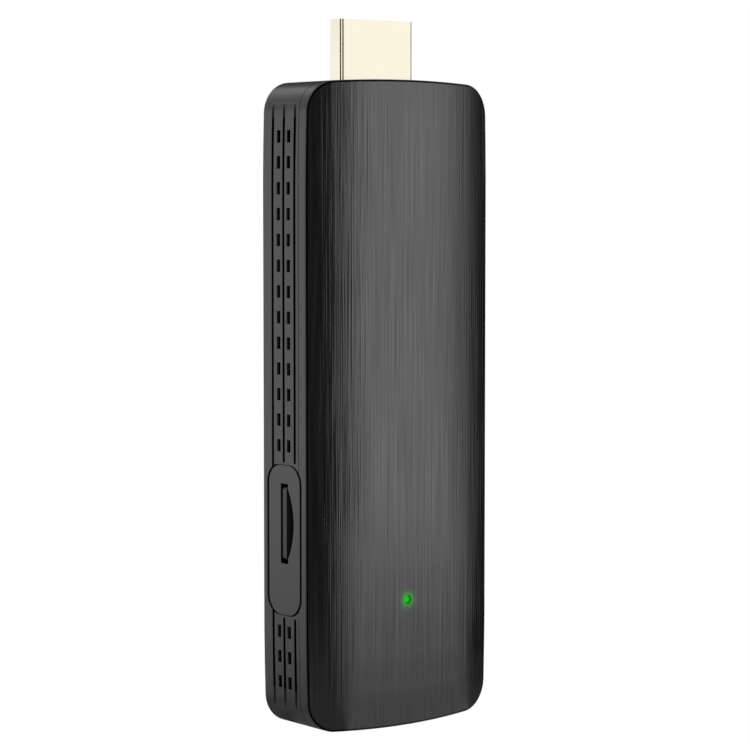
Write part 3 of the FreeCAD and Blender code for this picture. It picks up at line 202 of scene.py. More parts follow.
# The right card's edge is soft: toward the front, four strips grow lighter one after another.
soft_edge = {
    "first_edge": (50.0, 53.5, 0.85), "second_edge": (53.5, 57.0, 0.60), "third_edge": (57.0, 60.0, 0.30),
    "fourth_edge": (60.0, 62.5, 0.10),
}
for name, (start, end, tone) in soft_edge.items():
    round_cards[name] = (start, end, *upright, tone)
    round_cards[name + "_floor"] = (start, end, *lying, tone)
# The rest of the floor, as the gloss sees it, is pale and grows lighter away from the stick, ring by ring: a
# painted shadow of the stick.
floor_rings = {
    "near": (0.0, 0.03), "second": (0.03, 0.06), "third": (0.06, 0.11), "fourth": (0.11, 0.17),
    "far": (0.17, 0.26),
}
floor_painted_shadow_tones = (0.27, 0.35, 0.48, 0.65, 0.82)
ring_height = card_low - 0.005 * mm
for (name, (near, far)), tone in zip(floor_rings.items(), floor_painted_shadow_tones):
    round_cards[name + "_floor"] = (0.0, 360.0, near, ring_height, far, ring_height, tone)


def card(name, corners, faces, tone):
    """A card of the given tone that only a gloss sees."""
    paper = bpy.data.materials.new(name)
    tree, output = node_tree(paper)
    face = add(tree, "ShaderNodeEmission", {"Strength": tone})
    tree.links.new(face.outputs[0], output.inputs["Surface"])
    mesh = bpy.data.meshes.new(name)
    mesh.from_pydata(corners, [], faces)
    mesh.materials.append(paper)
    made = bpy.data.objects.new(name, mesh)
    bpy.context.scene.collection.objects.link(made)
    made.visible_camera = False
    made.visible_shadow = False
    made.visible_diffuse = False


def round_card(name, azimuth_from, azimuth_to, radius, height, end_radius, end_height, tone):
    """A strip swept round the upright axis from one azimuth to another, between two radii and heights.

    A point at azimuth a stands at the radius times (sin a, -cos a).
    """
    turns = np.radians(np.linspace(azimuth_from, azimuth_to, card_steps))
    ring = np.column_stack([np.sin(turns), -np.cos(turns)])
    start = np.column_stack([ring * radius, np.full(card_steps, height)])
    end = np.column_stack([ring * end_radius, np.full(card_steps, end_height)])
    index = np.arange(card_steps - 1)
    faces = np.column_stack([index, index + 1, index + 1 + card_steps, index + card_steps])
    card(name, np.vstack([start, end]).tolist(), faces.tolist(), tone)


for name, spans in round_cards.items():
    round_card(name, *spans)

# Pale strips lie on the floor before the front, one behind the other, and grow lighter away from it: a
# painted shadow of the stick. Each of their two sides starts at a place near the stick, in metres, and runs
# out along an azimuth in degrees.
strip_left = (-11.0 * mm, -8.0 * mm, 21.5)
strip_right = (14.0 * mm, -8.0 * mm, 55.0)
strip_height = card_low + 0.01 * mm
strip_painted_shadow_tones = (0.42, 0.50, 0.60, 0.72, 0.86)


def strip_point(side, distance):
    """The point at a distance from a side's start, along that side's azimuth a: (sin a, -cos a)."""
    x, y, azimuth = side
    turn = math.radians(azimuth)
    return (x + distance * math.sin(turn), y - distance * math.cos(turn), strip_height)


for (name, (near, far)), tone in zip(floor_rings.items(), strip_painted_shadow_tones):
    corners = [strip_point(strip_left, near), strip_point(strip_right, near),
               strip_point(strip_right, far), strip_point(strip_left, far)]
    card(name + "_strip", corners, [(0, 1, 2, 3)], tone)

# One more pale card lies right under the bottom end, and stops short of its rounded corners and edges.
# Without it, a view from below finds that end black.
under_side_inset = 4.7 * mm
under_face_inset = 1.5 * mm
under_height = strip_height + 0.01 * mm
case_low, case_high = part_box("rear_case")
cover_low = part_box("front_cover")[0]
left, right = case_low.x + under_side_inset, case_high.x - under_side_inset
near, far = cover_low.y + under_face_inset, case_high.y - under_face_inset
corners = [(x, y, under_height) for x, y in ((left, near), (right, near), (right, far), (left, far))]
card("under_card", corners, [(0, 1, 2, 3)], card_pale)


# Rear case: the deeper half of the casing, moulded in black ABS with a very fine spark-eroded grain. Its side
# walls carry three long grooves and the ventilation slots, and its bosses take the board's two screws.
def group(name, inputs, outputs):
    """An empty node group with the named number inputs and the named outputs."""
    made = bpy.data.node_groups.new(name, "ShaderNodeTree")
    for label, value in inputs.items():
        socket = made.interface.new_socket(label, in_out="INPUT", socket_type="NodeSocketFloat")
        socket.default_value = value
    for label, kind in outputs.items():
        made.interface.new_socket(label, in_out="OUTPUT", socket_type=kind)
    return made, made.nodes.new("NodeGroupInput"), made.nodes.new("NodeGroupOutput")


def object_place(tree):
    """The place of a point in its piece's own frame."""
    return add(tree, "ShaderNodeTexCoord").outputs["Object"]


def object_axes(tree):
    """The X, Y and Z of that place."""
    return add(tree, "ShaderNodeSeparateXYZ", {0: object_place(tree)}).outputs


# The grain goes up and down from spot to spot, and its tone drifts in wide clouds.
grain, inlet, outlet = group(
    "moulding_grain", {"Scale": 9000.0, "Cloud": 60.0},
    {"Height": "NodeSocketFloat", "Tone": "NodeSocketFloat"})
place = object_place(grain)
fine = add(grain, "ShaderNodeTexNoise", {"Vector": place, "Scale": inlet.outputs["Scale"], "Detail": 2.0})
broad = add(grain, "ShaderNodeTexNoise", {"Vector": place, "Scale": inlet.outputs["Cloud"], "Detail": 3.0})
grain.links.new(fine.outputs[0], outlet.inputs["Height"])
grain.links.new(broad.outputs[0], outlet.inputs["Tone"])

# The painted shade of a recess marks what lies nearer to the middle than the reach, on either side, and
# within four limits.
painted_recess_shade, inlet, outlet = group(
    "painted_recess_shade", {"Reach": 0.0175, "Front": -0.005, "Back": 0.0013, "Bottom": -0.095, "Top": -0.004},
    {"Inside": "NodeSocketFloat"})
axes = object_axes(painted_recess_shade)
tests = [
    ("LESS_THAN", maths(painted_recess_shade, "ABSOLUTE", axes["X"]), "Reach"),
    ("GREATER_THAN", axes["Y"], "Front"), ("LESS_THAN", axes["Y"], "Back"),
    ("GREATER_THAN", axes["Z"], "Bottom"), ("LESS_THAN", axes["Z"], "Top"),
]
inside = 1.0
for operation, value, label in tests:
    test = maths(painted_recess_shade, operation, value, inlet.outputs[label])
    inside = maths(painted_recess_shade, "MULTIPLY", test, inside)
painted_recess_shade.links.new(inside, outlet.inputs["Inside"])


def recess(depth, front, back, bottom, top):
    """The place painted in shade, deeper in the side walls than the depth, between the limits, all in
    millimetres.
    """
    limits = {"Front": front, "Back": back, "Bottom": bottom, "Top": top}
    values = {label: limit * mm for label, limit in limits.items()}
    return painted_recess_shade, {"Reach": cad_high.x - depth * mm, **values}


def finish(name, base, roughness, metallic=0.0, specular=0.5):
    """A new material of one Principled shader. Gives back the material, its tree and that shader."""
    made = bpy.data.materials.new(name)
    tree, output = node_tree(made)
    shader = add(tree, "ShaderNodeBsdfPrincipled", {
        "Base Color": (*base, 1.0), "Roughness": roughness, "Metallic": metallic,
        "Specular IOR Level": specular})
    tree.links.new(shader.outputs[0], output.inputs["Surface"])
    return made, tree, shader


def blend_colours(tree, amount, low, high):
    """A colour that goes from the low one to the high one as the amount goes from nought to one.

    Each of the two is a tone, or a socket that gives one.
    """
    first, second = (
        tone if isinstance(tone, bpy.types.NodeSocket) else (*tone, 1.0) for tone in (low, high))
    return add(tree, "ShaderNodeMix", {0: amount, 6: first, 7: second}, data_type="RGBA").outputs[2]


def blend_values(tree, amount, low, high):
    """A number that goes from low to high as the amount goes from nought to one."""
    return add(tree, "ShaderNodeMapRange", {"Value": amount, "To Min": low, "To Max": high}).outputs[0]


def raise_by(tree, shader, height, relief):
    """Lets a height from nought to one stand out of the surface by the relief in millimetres, as a bump."""
    bump = add(tree, "ShaderNodeBump", {"Height": height, "Strength": 1.0, "Distance": relief * mm})
    tree.links.new(bump.outputs[0], shader.inputs["Normal"])


grain_relief = 0.006
gloss_swing = 0.1
# The near-black colour of painted shade in grooves, slots and seams.
painted_shade_tone = (0.0015, 0.0015, 0.0015)


def moulded(name, low, high, roughness, painted_shades=()):
    """A moulded plastic: a base colour that drifts between two tones, uneven gloss and a fine grain.

    Each painted shade is a group that marks its place, with the group's values. What it marks is painted
    nearly black and turned to a black metal that hardly reflects: painted shade, standing for the shade in a
    narrow groove or slot.
    """
    made, tree, shader = finish(name, low, roughness)
    grains = add(tree, "ShaderNodeGroup", node_tree=grain)
    colour = blend_colours(tree, grains.outputs["Tone"], low, high)
    if painted_shades:
        marks = [add(tree, "ShaderNodeGroup", values, node_tree=mask) for mask, values in painted_shades]
        inside = marks[0].outputs["Inside"]
        for mark in marks[1:]:
            inside = maths(tree, "MAXIMUM", inside, mark.outputs["Inside"])
        # Painted shade: the marked places become near-black metal that hardly reflects.
        tree.links.new(inside, shader.inputs["Metallic"])
        colour = blend_colours(tree, inside, colour, painted_shade_tone)
    gloss = blend_values(
        tree, grains.outputs["Tone"], roughness * (1.0 - gloss_swing), roughness * (1.0 + gloss_swing))
    tree.links.new(colour, shader.inputs["Base Color"])
    tree.links.new(gloss, shader.inputs["Roughness"])
    raise_by(tree, shader, grains.outputs["Height"], grain_relief)
    return made


sharp_angle = math.radians(35.0)
flat_angle = math.radians(0.3)
weld_distance = 0.002 * mm

# Every face is smooth, and every edge that bends by more than the sharp angle is sharp.
smooth_rule = bpy.data.node_groups.new("shade_by_angle", "GeometryNodeTree")
smooth_rule.interface.new_socket("Geometry", in_out="INPUT", socket_type="NodeSocketGeometry")
smooth_rule.interface.new_socket("Geometry", in_out="OUTPUT", socket_type="NodeSocketGeometry")
inlet = smooth_rule.nodes.new("NodeGroupInput")
outlet = smooth_rule.nodes.new("NodeGroupOutput")
faces = add(smooth_rule, "GeometryNodeSetShadeSmooth", {"Geometry": inlet.outputs[0]}, domain="FACE")
bend = add(smooth_rule, "GeometryNodeInputMeshEdgeAngle")
sharp = add(smooth_rule, "FunctionNodeCompare", {0: bend.outputs[0], 1: sharp_angle})
edges = add(smooth_rule, "GeometryNodeSetShadeSmooth", {
    "Geometry": faces.outputs[0], "Selection": sharp.outputs[0], "Shade Smooth": False}, domain="EDGE")
smooth_rule.links.new(edges.outputs[0], outlet.inputs[0])


def shade(piece):
    """Shades a piece by that rule, through a modifier."""
    made = piece.modifiers.new("shade", "NODES")
    made.node_group = smooth_rule


def dress(node, material, edge, segments=2):
    """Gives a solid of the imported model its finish, and rounds its sharp edges by a width in millimetres.

    Before that, its loose triangles are joined and the flat ones merged.
    """
    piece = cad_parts[node]
    for slot in piece.material_slots:
        slot.material = material
    weld = piece.modifiers.new("weld", "WELD")
    weld.merge_threshold = weld_distance
    merge = piece.modifiers.new("merge", "DECIMATE")
    merge.decimate_type = "DISSOLVE"
    merge.angle_limit = flat_angle
    bevel = piece.modifiers.new("bevel", "BEVEL")
    bevel.width = edge * mm
    bevel.segments = segments
    bevel.limit_method = "ANGLE"
    bevel.angle_limit = sharp_angle
    bevel.use_clamp_overlap = True
    shade(piece)
    normals = piece.modifiers.new("normals", "WEIGHTED_NORMAL")
    normals.keep_sharp = True


black_low = (0.034, 0.034, 0.035)
black_high = (0.040, 0.040, 0.041)
black_gloss = 0.30
case_edge = 0.06
# Below these depths, the slots, the panel's seam and the grooves are painted nearly black: painted shade.
slot_painted_shade_depth = 0.35
slot_middles = (-3.08, -0.56)
slot_half_width = 0.46
slot_rows = (-93.0, -6.8)
seam_painted_shade_depth = 0.15
seam_limits = (-6.32, 2.52, -81.1, -58.0)
groove_painted_shade_depth = 0.07
groove_fronts = (-4.91, -2.12, 0.66)
groove_bottom = -94.4
groove_top = -3.8
# The walls curve in toward the stick's ends, so that a groove grows shallow there and its painted shade
# narrow.
# Each width of the painted shade stops short of the groove's ends by the number beside it.
groove_painted_shade_widths = {0.26: 0.0, 0.43: 1.0, 0.60: 2.0}

# The places of painted shade in the rear case's side walls.
wall_painted_shades = [recess(seam_painted_shade_depth, *seam_limits)]
for middle in slot_middles:
    front, back = middle - slot_half_width, middle + slot_half_width
    wall_painted_shades.append(recess(slot_painted_shade_depth, front, back, *slot_rows))
for front in groove_fronts:
    for width, short in groove_painted_shade_widths.items():
        wall_painted_shades.append(recess(
            groove_painted_shade_depth, front, front + width, groove_bottom + short, groove_top - short))
case_plastic = moulded("case_plastic", black_low, black_high, black_gloss, wall_painted_shades)
dress("rear_case", case_plastic, case_edge)


# Front cover: the shallow front half of the casing, moulded in the same black plastic. Its thin rim frames
# the brushed plate, and its inner lip snaps into the rear case.
crown_radius = 82.93 * mm
painted_rim_shade_depth = 0.14 * mm
painted_rim_shade_values = {"Crest": cad_low.y, "Crown": crown_radius, "Depth": painted_rim_shade_depth}

# The rim's forward ring is painted nearly black as painted shade of the plate's gap: it is what lies less
# than the depth behind the crowned front. At a distance from the middle, that front lies behind its crest by
# the crown's radius less the root of that radius squared less the distance squared.
painted_rim_shade, inlet, outlet = group("painted_rim_shade", painted_rim_shade_values, {"Inside": "NodeSocketFloat"})
axes = object_axes(painted_rim_shade)
crown = inlet.outputs["Crown"]
crown_square = maths(painted_rim_shade, "MULTIPLY", crown, crown)
across_square = maths(painted_rim_shade, "MULTIPLY", axes["X"], axes["X"])
chord = maths(painted_rim_shade, "SQRT", maths(painted_rim_shade, "SUBTRACT", crown_square, across_square))
sag = maths(painted_rim_shade, "SUBTRACT", crown, chord)
front = maths(painted_rim_shade, "ADD", inlet.outputs["Crest"], sag)
behind = maths(painted_rim_shade, "SUBTRACT", axes["Y"], front)
inside = maths(painted_rim_shade, "LESS_THAN", behind, inlet.outputs["Depth"])
painted_rim_shade.links.new(inside, outlet.inputs["Inside"])

# The cover's forward rim ring is painted nearly black: painted shade.
cover_plastic = moulded("cover_plastic", black_low, black_high, black_gloss, [(painted_rim_shade, painted_rim_shade_values)])
dress("front_cover", cover_plastic, case_edge)


# Front plate: half-millimetre aluminium sheet, brushed lengthwise, black anodised, rolled to the crown of the
# cover and glued into its recess. A soft green glow is painted on it round the light pipe's end: painted
# light.
fine_across = 5200.0
fine_along = 42.0
coarse_share = 0.37
coarse_weight = 0.25
streak_low = 0.445
streak_high = 0.805
plate_low = (0.095, 0.095, 0.096)
plate_high = (0.150, 0.150, 0.152)
plate_smooth = 0.10
plate_rough = 0.16
plate_relief = 0.0145
plate_edge = 0.04
plate_painted_glow = {"Spread": 0.9 * mm, "Strength": 0.38}


def stretched_noise(tree, place, across, along):
    """Noise whose cells are stretched along the stick: fine across it and long down it."""
    size = add(tree, "ShaderNodeCombineXYZ", {"X": across, "Y": 0.0, "Z": along})
    spread = add(tree, "ShaderNodeVectorMath", {0: place, 1: size.outputs[0]}, operation="MULTIPLY")
    return add(tree, "ShaderNodeTexNoise", {
        "Vector": spread.outputs[0], "Scale": 1.0, "Detail": 1.0, "Roughness": 0.6}).outputs[0]


# The brushed height is fine noise plus a part of coarser noise, and the streaks are it with more contrast.
brush, inlet, outlet = group(
    "lengthwise_brush", {"Across": fine_across, "Along": fine_along},
    {"Streaks": "NodeSocketFloat", "Height": "NodeSocketFloat"})
place = object_place(brush)
coarse_across = maths(brush, "MULTIPLY", inlet.outputs["Across"], coarse_share)
fine_lines = stretched_noise(brush, place, inlet.outputs["Across"], inlet.outputs["Along"])
coarse_lines = stretched_noise(brush, place, coarse_across, inlet.outputs["Along"])
height = maths(brush, "MULTIPLY_ADD", coarse_lines, coarse_weight, fine_lines)
contrast = add(brush, "ShaderNodeMapRange", {
    "Value": height, "From Min": streak_low, "From Max": streak_high})
brush.links.new(contrast.outputs[0], outlet.inputs["Streaks"])
brush.links.new(height, outlet.inputs["Height"])


def brushed(name, low, high, smooth, rough, relief, across=fine_across, along=fine_along):
    """A metal brushed lengthwise: tone and roughness go up together from streak to streak."""
    made, tree, shader = finish(name, low, rough, metallic=1.0)
    lines = add(tree, "ShaderNodeGroup", {"Across": across, "Along": along}, node_tree=brush)
    streaks = lines.outputs["Streaks"]
    tree.links.new(blend_colours(tree, streaks, low, high), shader.inputs["Base Color"])
    tree.links.new(blend_values(tree, streaks, smooth, rough), shader.inputs["Roughness"])
    raise_by(tree, shader, lines.outputs["Height"], relief)
    return made, tree, shader


def distance_from_line(tree, inlet):
    """How far a place lies from the line along Y through the X and Z that the group is given."""
    axes = object_axes(tree)
    away = add(tree, "ShaderNodeCombineXYZ", {
        axis: maths(tree, "SUBTRACT", axes[axis], inlet.outputs[axis]) for axis in ("X", "Z")})
    return add(tree, "ShaderNodeVectorMath", {0: away.outputs[0]}, operation="LENGTH").outputs["Value"]


# The halo's glow is its strength times e to the power of minus the square of the distance over the spread.
# On the front plate this glow is painted light of the status light; on the light pipe and status light it is
# their own.
halo, inlet, outlet = group(
    "light_halo", {"X": 0.0, "Z": 0.0, **plate_painted_glow}, {"Glow": "NodeSocketColor"})
share = maths(halo, "DIVIDE", distance_from_line(halo, inlet), inlet.outputs["Spread"])
fall = maths(halo, "POWER", math.exp(-1.0), maths(halo, "MULTIPLY", share, share))
level = maths(halo, "MULTIPLY", fall, inlet.outputs["Strength"])
green = add(halo, "ShaderNodeCombineColor", {"Red": 0.0, "Green": level, "Blue": 0.0})
halo.links.new(green.outputs[0], outlet.inputs["Glow"])

light_low, light_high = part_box("light_pipe")
light_place = {"X": (light_low.x + light_high.x) / 2.0, "Z": (light_low.z + light_high.z) / 2.0}


def light_up(tree, shader, spread_and_strength):
    """Lets a surface glow green round the light pipe's middle: painted light on the plate, the light's own
    glow on the pipe.
    """
    ring = add(tree, "ShaderNodeGroup", {**light_place, **spread_and_strength}, node_tree=halo)
    tree.links.new(ring.outputs["Glow"], shader.inputs["Emission Color"])
    shader.inputs["Emission Strength"].default_value = 1.0


plate_metal, tree, shader = brushed(
    "plate_metal", plate_low, plate_high, plate_smooth, plate_rough, plate_relief)
# The plate's green glow round the light pipe is painted light.
light_up(tree, shader, plate_painted_glow)
dress("front_plate", plate_metal, plate_edge)


# Side panels: two black inserts moulded like the casing, one with the card slot and the finger notch, one
# with the power inlet and the reset pin-hole. Their flanges hold them inside the casing's side walls.
# The panels' seam, notch and slot frame behind their faces are painted nearly black: painted shade.
panel_limits = (cad_low.y / mm, cad_high.y / mm, cad_low.z / mm, cad_high.z / mm)
panel_painted_shade = recess(seam_painted_shade_depth, *panel_limits)
panel_plastic = moulded("panel_plastic", black_low, black_high, black_gloss, [panel_painted_shade])
dress("card_panel", panel_plastic, case_edge)
dress("port_panel", panel_plastic, case_edge)


# Memory card: a thin card moulded in black epoxy, with a thicker grip lip at its outer end. It goes into the
# socket through the slot, and after one more push it springs out.
card_plastic = moulded("card_plastic", low=(0.022, 0.022, 0.023), high=(0.030, 0.030, 0.031), roughness=0.35)
dress("memory_card", card_plastic, edge=0.05)


# Plug: a D-shaped tube folded from steel sheet, plated in pale gold and soldered to the board by two tabs. A
# black nylon insulator in it holds nineteen gold-plated contact springs.
plating_low = (0.96, 0.90, 0.72)
plating_high = (1.0, 0.94, 0.78)
plating_smooth = 0.12
plating_rough = 0.20
plating_grain = 2500.0
gold_low = (0.86, 0.64, 0.26)
gold_high = (0.94, 0.76, 0.36)
gold_gloss = 0.25
inner_edge = 0.03

plug_plating, tree, shader = finish("plug_plating", plating_low, plating_rough, metallic=1.0)
grains = add(tree, "ShaderNodeGroup", {"Scale": plating_grain}, node_tree=grain)
colour = blend_colours(tree, grains.outputs["Tone"], plating_low, plating_high)
gloss = blend_values(tree, grains.outputs["Height"], plating_smooth, plating_rough)
tree.links.new(colour, shader.inputs["Base Color"])
tree.links.new(gloss, shader.inputs["Roughness"])
dress("plug_shell", plug_plating, edge=0.05)

contact_gold, tree, shader = finish("contact_gold", gold_low, gold_gloss, metallic=1.0)
grains = add(tree, "ShaderNodeGroup", node_tree=grain)
tree.links.new(blend_colours(tree, grains.outputs["Tone"], gold_low, gold_high), shader.inputs["Base Color"])
insulator_nylon = moulded(
    "insulator_nylon", low=(0.012, 0.012, 0.012), high=(0.018, 0.018, 0.018), roughness=0.45)
dress("plug_insulator", insulator_nylon, inner_edge)
dress("plug_contacts", contact_gold, inner_edge)


# Light pipe and status light: a clear acrylic rod, lit green from behind by a small lamp on the board, so
# that its middle is the brightest.
pipe_green = (0.005, 0.10, 0.01)
pipe_gloss = 0.2
pipe_glow = {"Spread": 0.73 * mm, "Strength": 0.50}

light_acrylic, tree, shader = finish("light_acrylic", pipe_green, pipe_gloss, specular=0.2)
light_up(tree, shader, pipe_glow)
dress("light_pipe", light_acrylic, edge=0.1)
dress("status_led", light_acrylic, edge=0.05)


# Main board: glass fibre with copper tracks under its green solder mask, and tinned holes through it. Two
# screws hold it on the rear case's bosses. The wireless module is a smaller board of the same kind.
board_dark = (0.010, 0.085, 0.035)
board_light = (0.016, 0.125, 0.050)
board_gloss = 0.3
track_green = (0.040, 0.230, 0.095)
track_relief = 0.02
hole_tin = (0.72, 0.70, 0.64)

# The tracks are the joints of a brick pattern laid along the board, and the holes are small round spots.
tracks, inlet, outlet = group(
    "board_tracks", {"Scale": 260.0, "Track": 0.035, "Spread": 420.0, "Hole": 0.11},
    {"Track": "NodeSocketFloat", "Hole": "NodeSocketFloat"})
axes = object_axes(tracks)
flat = add(tracks, "ShaderNodeCombineXYZ", {"X": axes["Z"], "Y": axes["X"]}).outputs[0]
runs = add(tracks, "ShaderNodeTexBrick", {
    "Vector": flat, "Scale": inlet.outputs["Scale"], "Mortar Size": inlet.outputs["Track"],
    "Mortar Smooth": 0.1, "Brick Width": 1.6, "Row Height": 0.25},
    offset=0.37, offset_frequency=3, squash=1.8, squash_frequency=2)
spots = add(tracks, "ShaderNodeTexVoronoi", {
    "Vector": flat, "Scale": inlet.outputs["Spread"], "Randomness": 0.8}, voronoi_dimensions="2D")
holes = maths(tracks, "LESS_THAN", spots.outputs["Distance"], inlet.outputs["Hole"])
tracks.links.new(runs.outputs["Fac"], outlet.inputs["Track"])
tracks.links.new(holes, outlet.inputs["Hole"])

board_mask, tree, shader = finish("board_mask", board_dark, board_gloss)
grains = add(tree, "ShaderNodeGroup", node_tree=grain)
lines = add(tree, "ShaderNodeGroup", node_tree=tracks)
mask = blend_colours(tree, grains.outputs["Tone"], board_dark, board_light)
copper = blend_colours(tree, lines.outputs["Track"], mask, track_green)
tinned = blend_colours(tree, lines.outputs["Hole"], copper, hole_tin)
tree.links.new(tinned, shader.inputs["Base Color"])
tree.links.new(lines.outputs["Hole"], shader.inputs["Metallic"])
raise_by(tree, shader, lines.outputs["Track"], track_relief)
dress("main_board", board_mask, edge=0.05)
dress("wireless_module", board_mask, inner_edge)


# Board screws: two small cross-head screws of steel, plated in black zinc. They go through the board into the
# rear case's bosses.
metal_grain = 3000.0
metal_swing = 0.2


def sheet_metal(name, low, high, roughness):
    """A plated or bare metal whose tone drifts, and whose gloss is uneven by the swing either way."""
    made, tree, shader = finish(name, low, roughness, metallic=1.0)
    grains = add(tree, "ShaderNodeGroup", {"Scale": metal_grain}, node_tree=grain)
    gloss = blend_values(
        tree, grains.outputs["Height"], roughness * (1.0 - metal_swing), roughness * (1.0 + metal_swing))
    tree.links.new(blend_colours(tree, grains.outputs["Tone"], low, high), shader.inputs["Base Color"])
    tree.links.new(gloss, shader.inputs["Roughness"])
    return made


screw_zinc = sheet_metal("screw_zinc", low=(0.30, 0.30, 0.29), high=(0.42, 0.42, 0.41), roughness=0.35)
dress("board_screws", screw_zinc, inner_edge)


# Chips: the processor, two memory chips, the flash storage and the power supply, each a black epoxy package
# soldered to the board. A polished dot marks the corner of its first pin.
epoxy_low = (0.016, 0.016, 0.017)
epoxy_high = (0.024, 0.024, 0.025)
epoxy_gloss = 0.55
dot_tone = (0.09, 0.09, 0.09)
dot_gloss = 0.25
dot_inset = 1.1 * mm
dot_radius = 0.35 * mm

first_pin, inlet, outlet = group(
    "first_pin", {"X": 0.0, "Z": 0.0, "Radius": dot_radius}, {"Dot": "NodeSocketFloat"})
dot = maths(first_pin, "LESS_THAN", distance_from_line(first_pin, inlet), inlet.outputs["Radius"])
first_pin.links.new(dot, outlet.inputs["Dot"])


def dress_inner(material, *nodes):
    """Gives small inner solids their finish, with one narrow facet along each sharp edge."""
    for node in nodes:
        dress(node, material, inner_edge, segments=1)


def package(node):
    """Dresses a chip in matt epoxy, with its dot near the upper left corner of the node's box."""
    low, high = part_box(node)
    made, tree, shader = finish(node + "_epoxy", epoxy_low, epoxy_gloss)
    grains = add(tree, "ShaderNodeGroup", node_tree=grain)
    corner = {"X": low.x + dot_inset, "Z": high.z - dot_inset}
    dot = add(tree, "ShaderNodeGroup", corner, node_tree=first_pin).outputs["Dot"]
    body = blend_colours(tree, grains.outputs["Tone"], epoxy_low, epoxy_high)
    tree.links.new(blend_colours(tree, dot, body, dot_tone), shader.inputs["Base Color"])
    tree.links.new(blend_values(tree, dot, epoxy_gloss, dot_gloss), shader.inputs["Roughness"])
    raise_by(tree, shader, grains.outputs["Height"], grain_relief)
    dress_inner(made, node)


for node in ("processor", "memory_chips", "flash_chip", "power_chip"):
    package(node)


# Wireless shield, crystals and antenna: the shield and the antenna are cut and folded from tinned sheet, and
# the crystals have drawn lids of plated steel. All are soldered down.
tin_plate = brushed(
    "tin_plate", low=(0.64, 0.64, 0.62), high=(0.76, 0.76, 0.74), smooth=0.22, rough=0.32, relief=0.004,
    across=3000.0, along=150.0)[0]
lid_plate = sheet_metal("lid_plate", low=(0.74, 0.72, 0.64), high=(0.84, 0.82, 0.74), roughness=0.25)
dress_inner(tin_plate, "wireless_shield", "antenna")
dress_inner(lid_plate, "crystals")


# Inductors and capacitors: the power supply's inductors are blocks of pressed ferrite powder, and the
# capacitors by the processor are fired ceramic. Both kinds are soldered flat on the board.
ferrite_powder = moulded("ferrite_powder", low=(0.07, 0.07, 0.07), high=(0.10, 0.10, 0.10), roughness=0.6)
fired_ceramic = moulded("fired_ceramic", low=(0.42, 0.31, 0.20), high=(0.52, 0.40, 0.28), roughness=0.3)
dress_inner(ferrite_powder, "inductors")
dress_inner(fired_ceramic, "capacitors")


# Thermal pad and heat spreader: a soft filled silicone pad carries the processor's heat to a bright extruded
# aluminium plate, whose drawn lines run along its fins.
pad_silicone = moulded("pad_silicone", low=(0.30, 0.35, 0.42), high=(0.36, 0.41, 0.48), roughness=0.7)
fin_aluminium = brushed(
    "fin_aluminium", low=(0.68, 0.69, 0.70), high=(0.80, 0.81, 0.82), smooth=0.25, rough=0.36, relief=0.006,
    across=4500.0, along=40.0)[0]
dress_inner(pad_silicone, "thermal_pad")
dress_inner(fin_aluminium, "heat_spreader")


# Memory-card socket: a cream nylon base with gold contacts and a sprung slider, which a steel pin latches,
# under a cover of stainless sheet that lies in the shade of the slot, coloured darker than its steel as
# painted shade.
cream_nylon = moulded("cream_nylon", low=(0.55, 0.51, 0.42), high=(0.62, 0.58, 0.48), roughness=0.4)
# The cover's colour is darker than stainless steel's own: painted shade of the slot.
cover_steel_painted_shade = sheet_metal("cover_steel_painted_shade", low=(0.26, 0.26, 0.26), high=(0.34, 0.34, 0.34), roughness=0.4)
spring_steel = sheet_metal("spring_steel", low=(0.50, 0.50, 0.50), high=(0.62, 0.62, 0.62), roughness=0.25)
dress_inner(cream_nylon, "card_socket_base", "card_slider")
dress_inner(cover_steel_painted_shade, "card_socket_cover")
dress_inner(contact_gold, "card_socket_contacts")
dress_inner(spring_steel, "card_latch_pin")

wire_radius = 0.06 * mm
wire_sides = 10
spring_turns = 3.0
spring_steps = 97


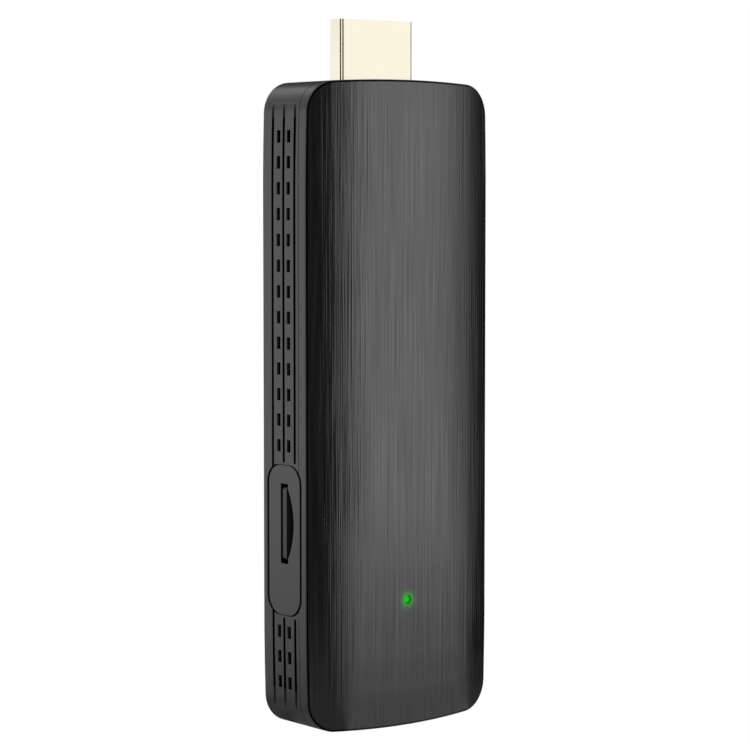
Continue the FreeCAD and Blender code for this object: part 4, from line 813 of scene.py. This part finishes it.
def coil(name, low, high):
    """A coil spring that fills a box, wound along X.

    Its centre line goes evenly along X while it turns: y = cos a and z = sin a times the coil's radius, with
    a from nought to a full turn times the number of turns. Each ring of the wire stands across that line, on
    the outward direction (0, cos a, sin a) and on the line's own direction times that one.
    """
    share = np.linspace(0.0, 1.0, spring_steps)
    angle = 2.0 * math.pi * spring_turns * share
    zero, one = np.zeros(spring_steps), np.ones(spring_steps)
    radius = (high.z - low.z) / 2.0 - wire_radius
    length = high.x - low.x - 2.0 * wire_radius
    outward = np.column_stack([zero, np.cos(angle), np.sin(angle)])
    sideways = np.column_stack([zero, -np.sin(angle), np.cos(angle)])
    line = radius * outward
    line += [low.x + wire_radius, (low.y + high.y) / 2.0, (low.z + high.z) / 2.0]
    line[:, 0] += length * share
    along = length * np.column_stack([one, zero, zero]) + 2.0 * math.pi * spring_turns * radius * sideways
    along /= np.linalg.norm(along, axis=1)[:, None]
    across = np.cross(along, outward)
    turn = np.linspace(0.0, 2.0 * math.pi, wire_sides, endpoint=False)
    rings = line[:, None] + wire_radius * (
        np.cos(turn)[:, None] * outward[:, None] + np.sin(turn)[:, None] * across[:, None])
    index = np.arange(spring_steps * wire_sides).reshape(spring_steps, wire_sides)
    after = np.roll(index, -1, axis=1)
    faces = np.stack([index[:-1], after[:-1], after[1:], index[1:]], axis=-1).reshape(-1, 4).tolist()
    faces += [index[0][::-1].tolist(), index[-1].tolist()]
    mesh = bpy.data.meshes.new(name)
    mesh.from_pydata(rings.reshape(-1, 3).tolist(), [], faces)
    mesh.materials.append(spring_steel)
    made = bpy.data.objects.new(name, mesh)
    bpy.context.scene.collection.objects.link(made)
    return made


# The coil spring lies between the slider and the socket's end wall, where it stretches and shortens in the
# socket. It takes the imported spring's place.
spring_low, spring_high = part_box("card_spring")
latch_spring = coil("latch_spring", spring_low, spring_high)
shade(latch_spring)
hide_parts("card_spring")
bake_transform(latch_spring)


# USB socket and power inlet: each is a shell of tinned sheet folded round a black nylon tongue, with
# gold-plated contacts on it, and is soldered to the board.
dress_inner(tin_plate, "usb_shell", "inlet_shell")
dress_inner(insulator_nylon, "usb_tongue", "inlet_tongue")
dress_inner(contact_gold, "usb_contacts", "inlet_contacts")


# Reset switch: a black nylon base soldered to the board's edge, and a cream nylon plunger in it, which a pin
# through the side panel's hole presses.
dress_inner(insulator_nylon, "reset_base")
dress_inner(cream_nylon, "reset_plunger")
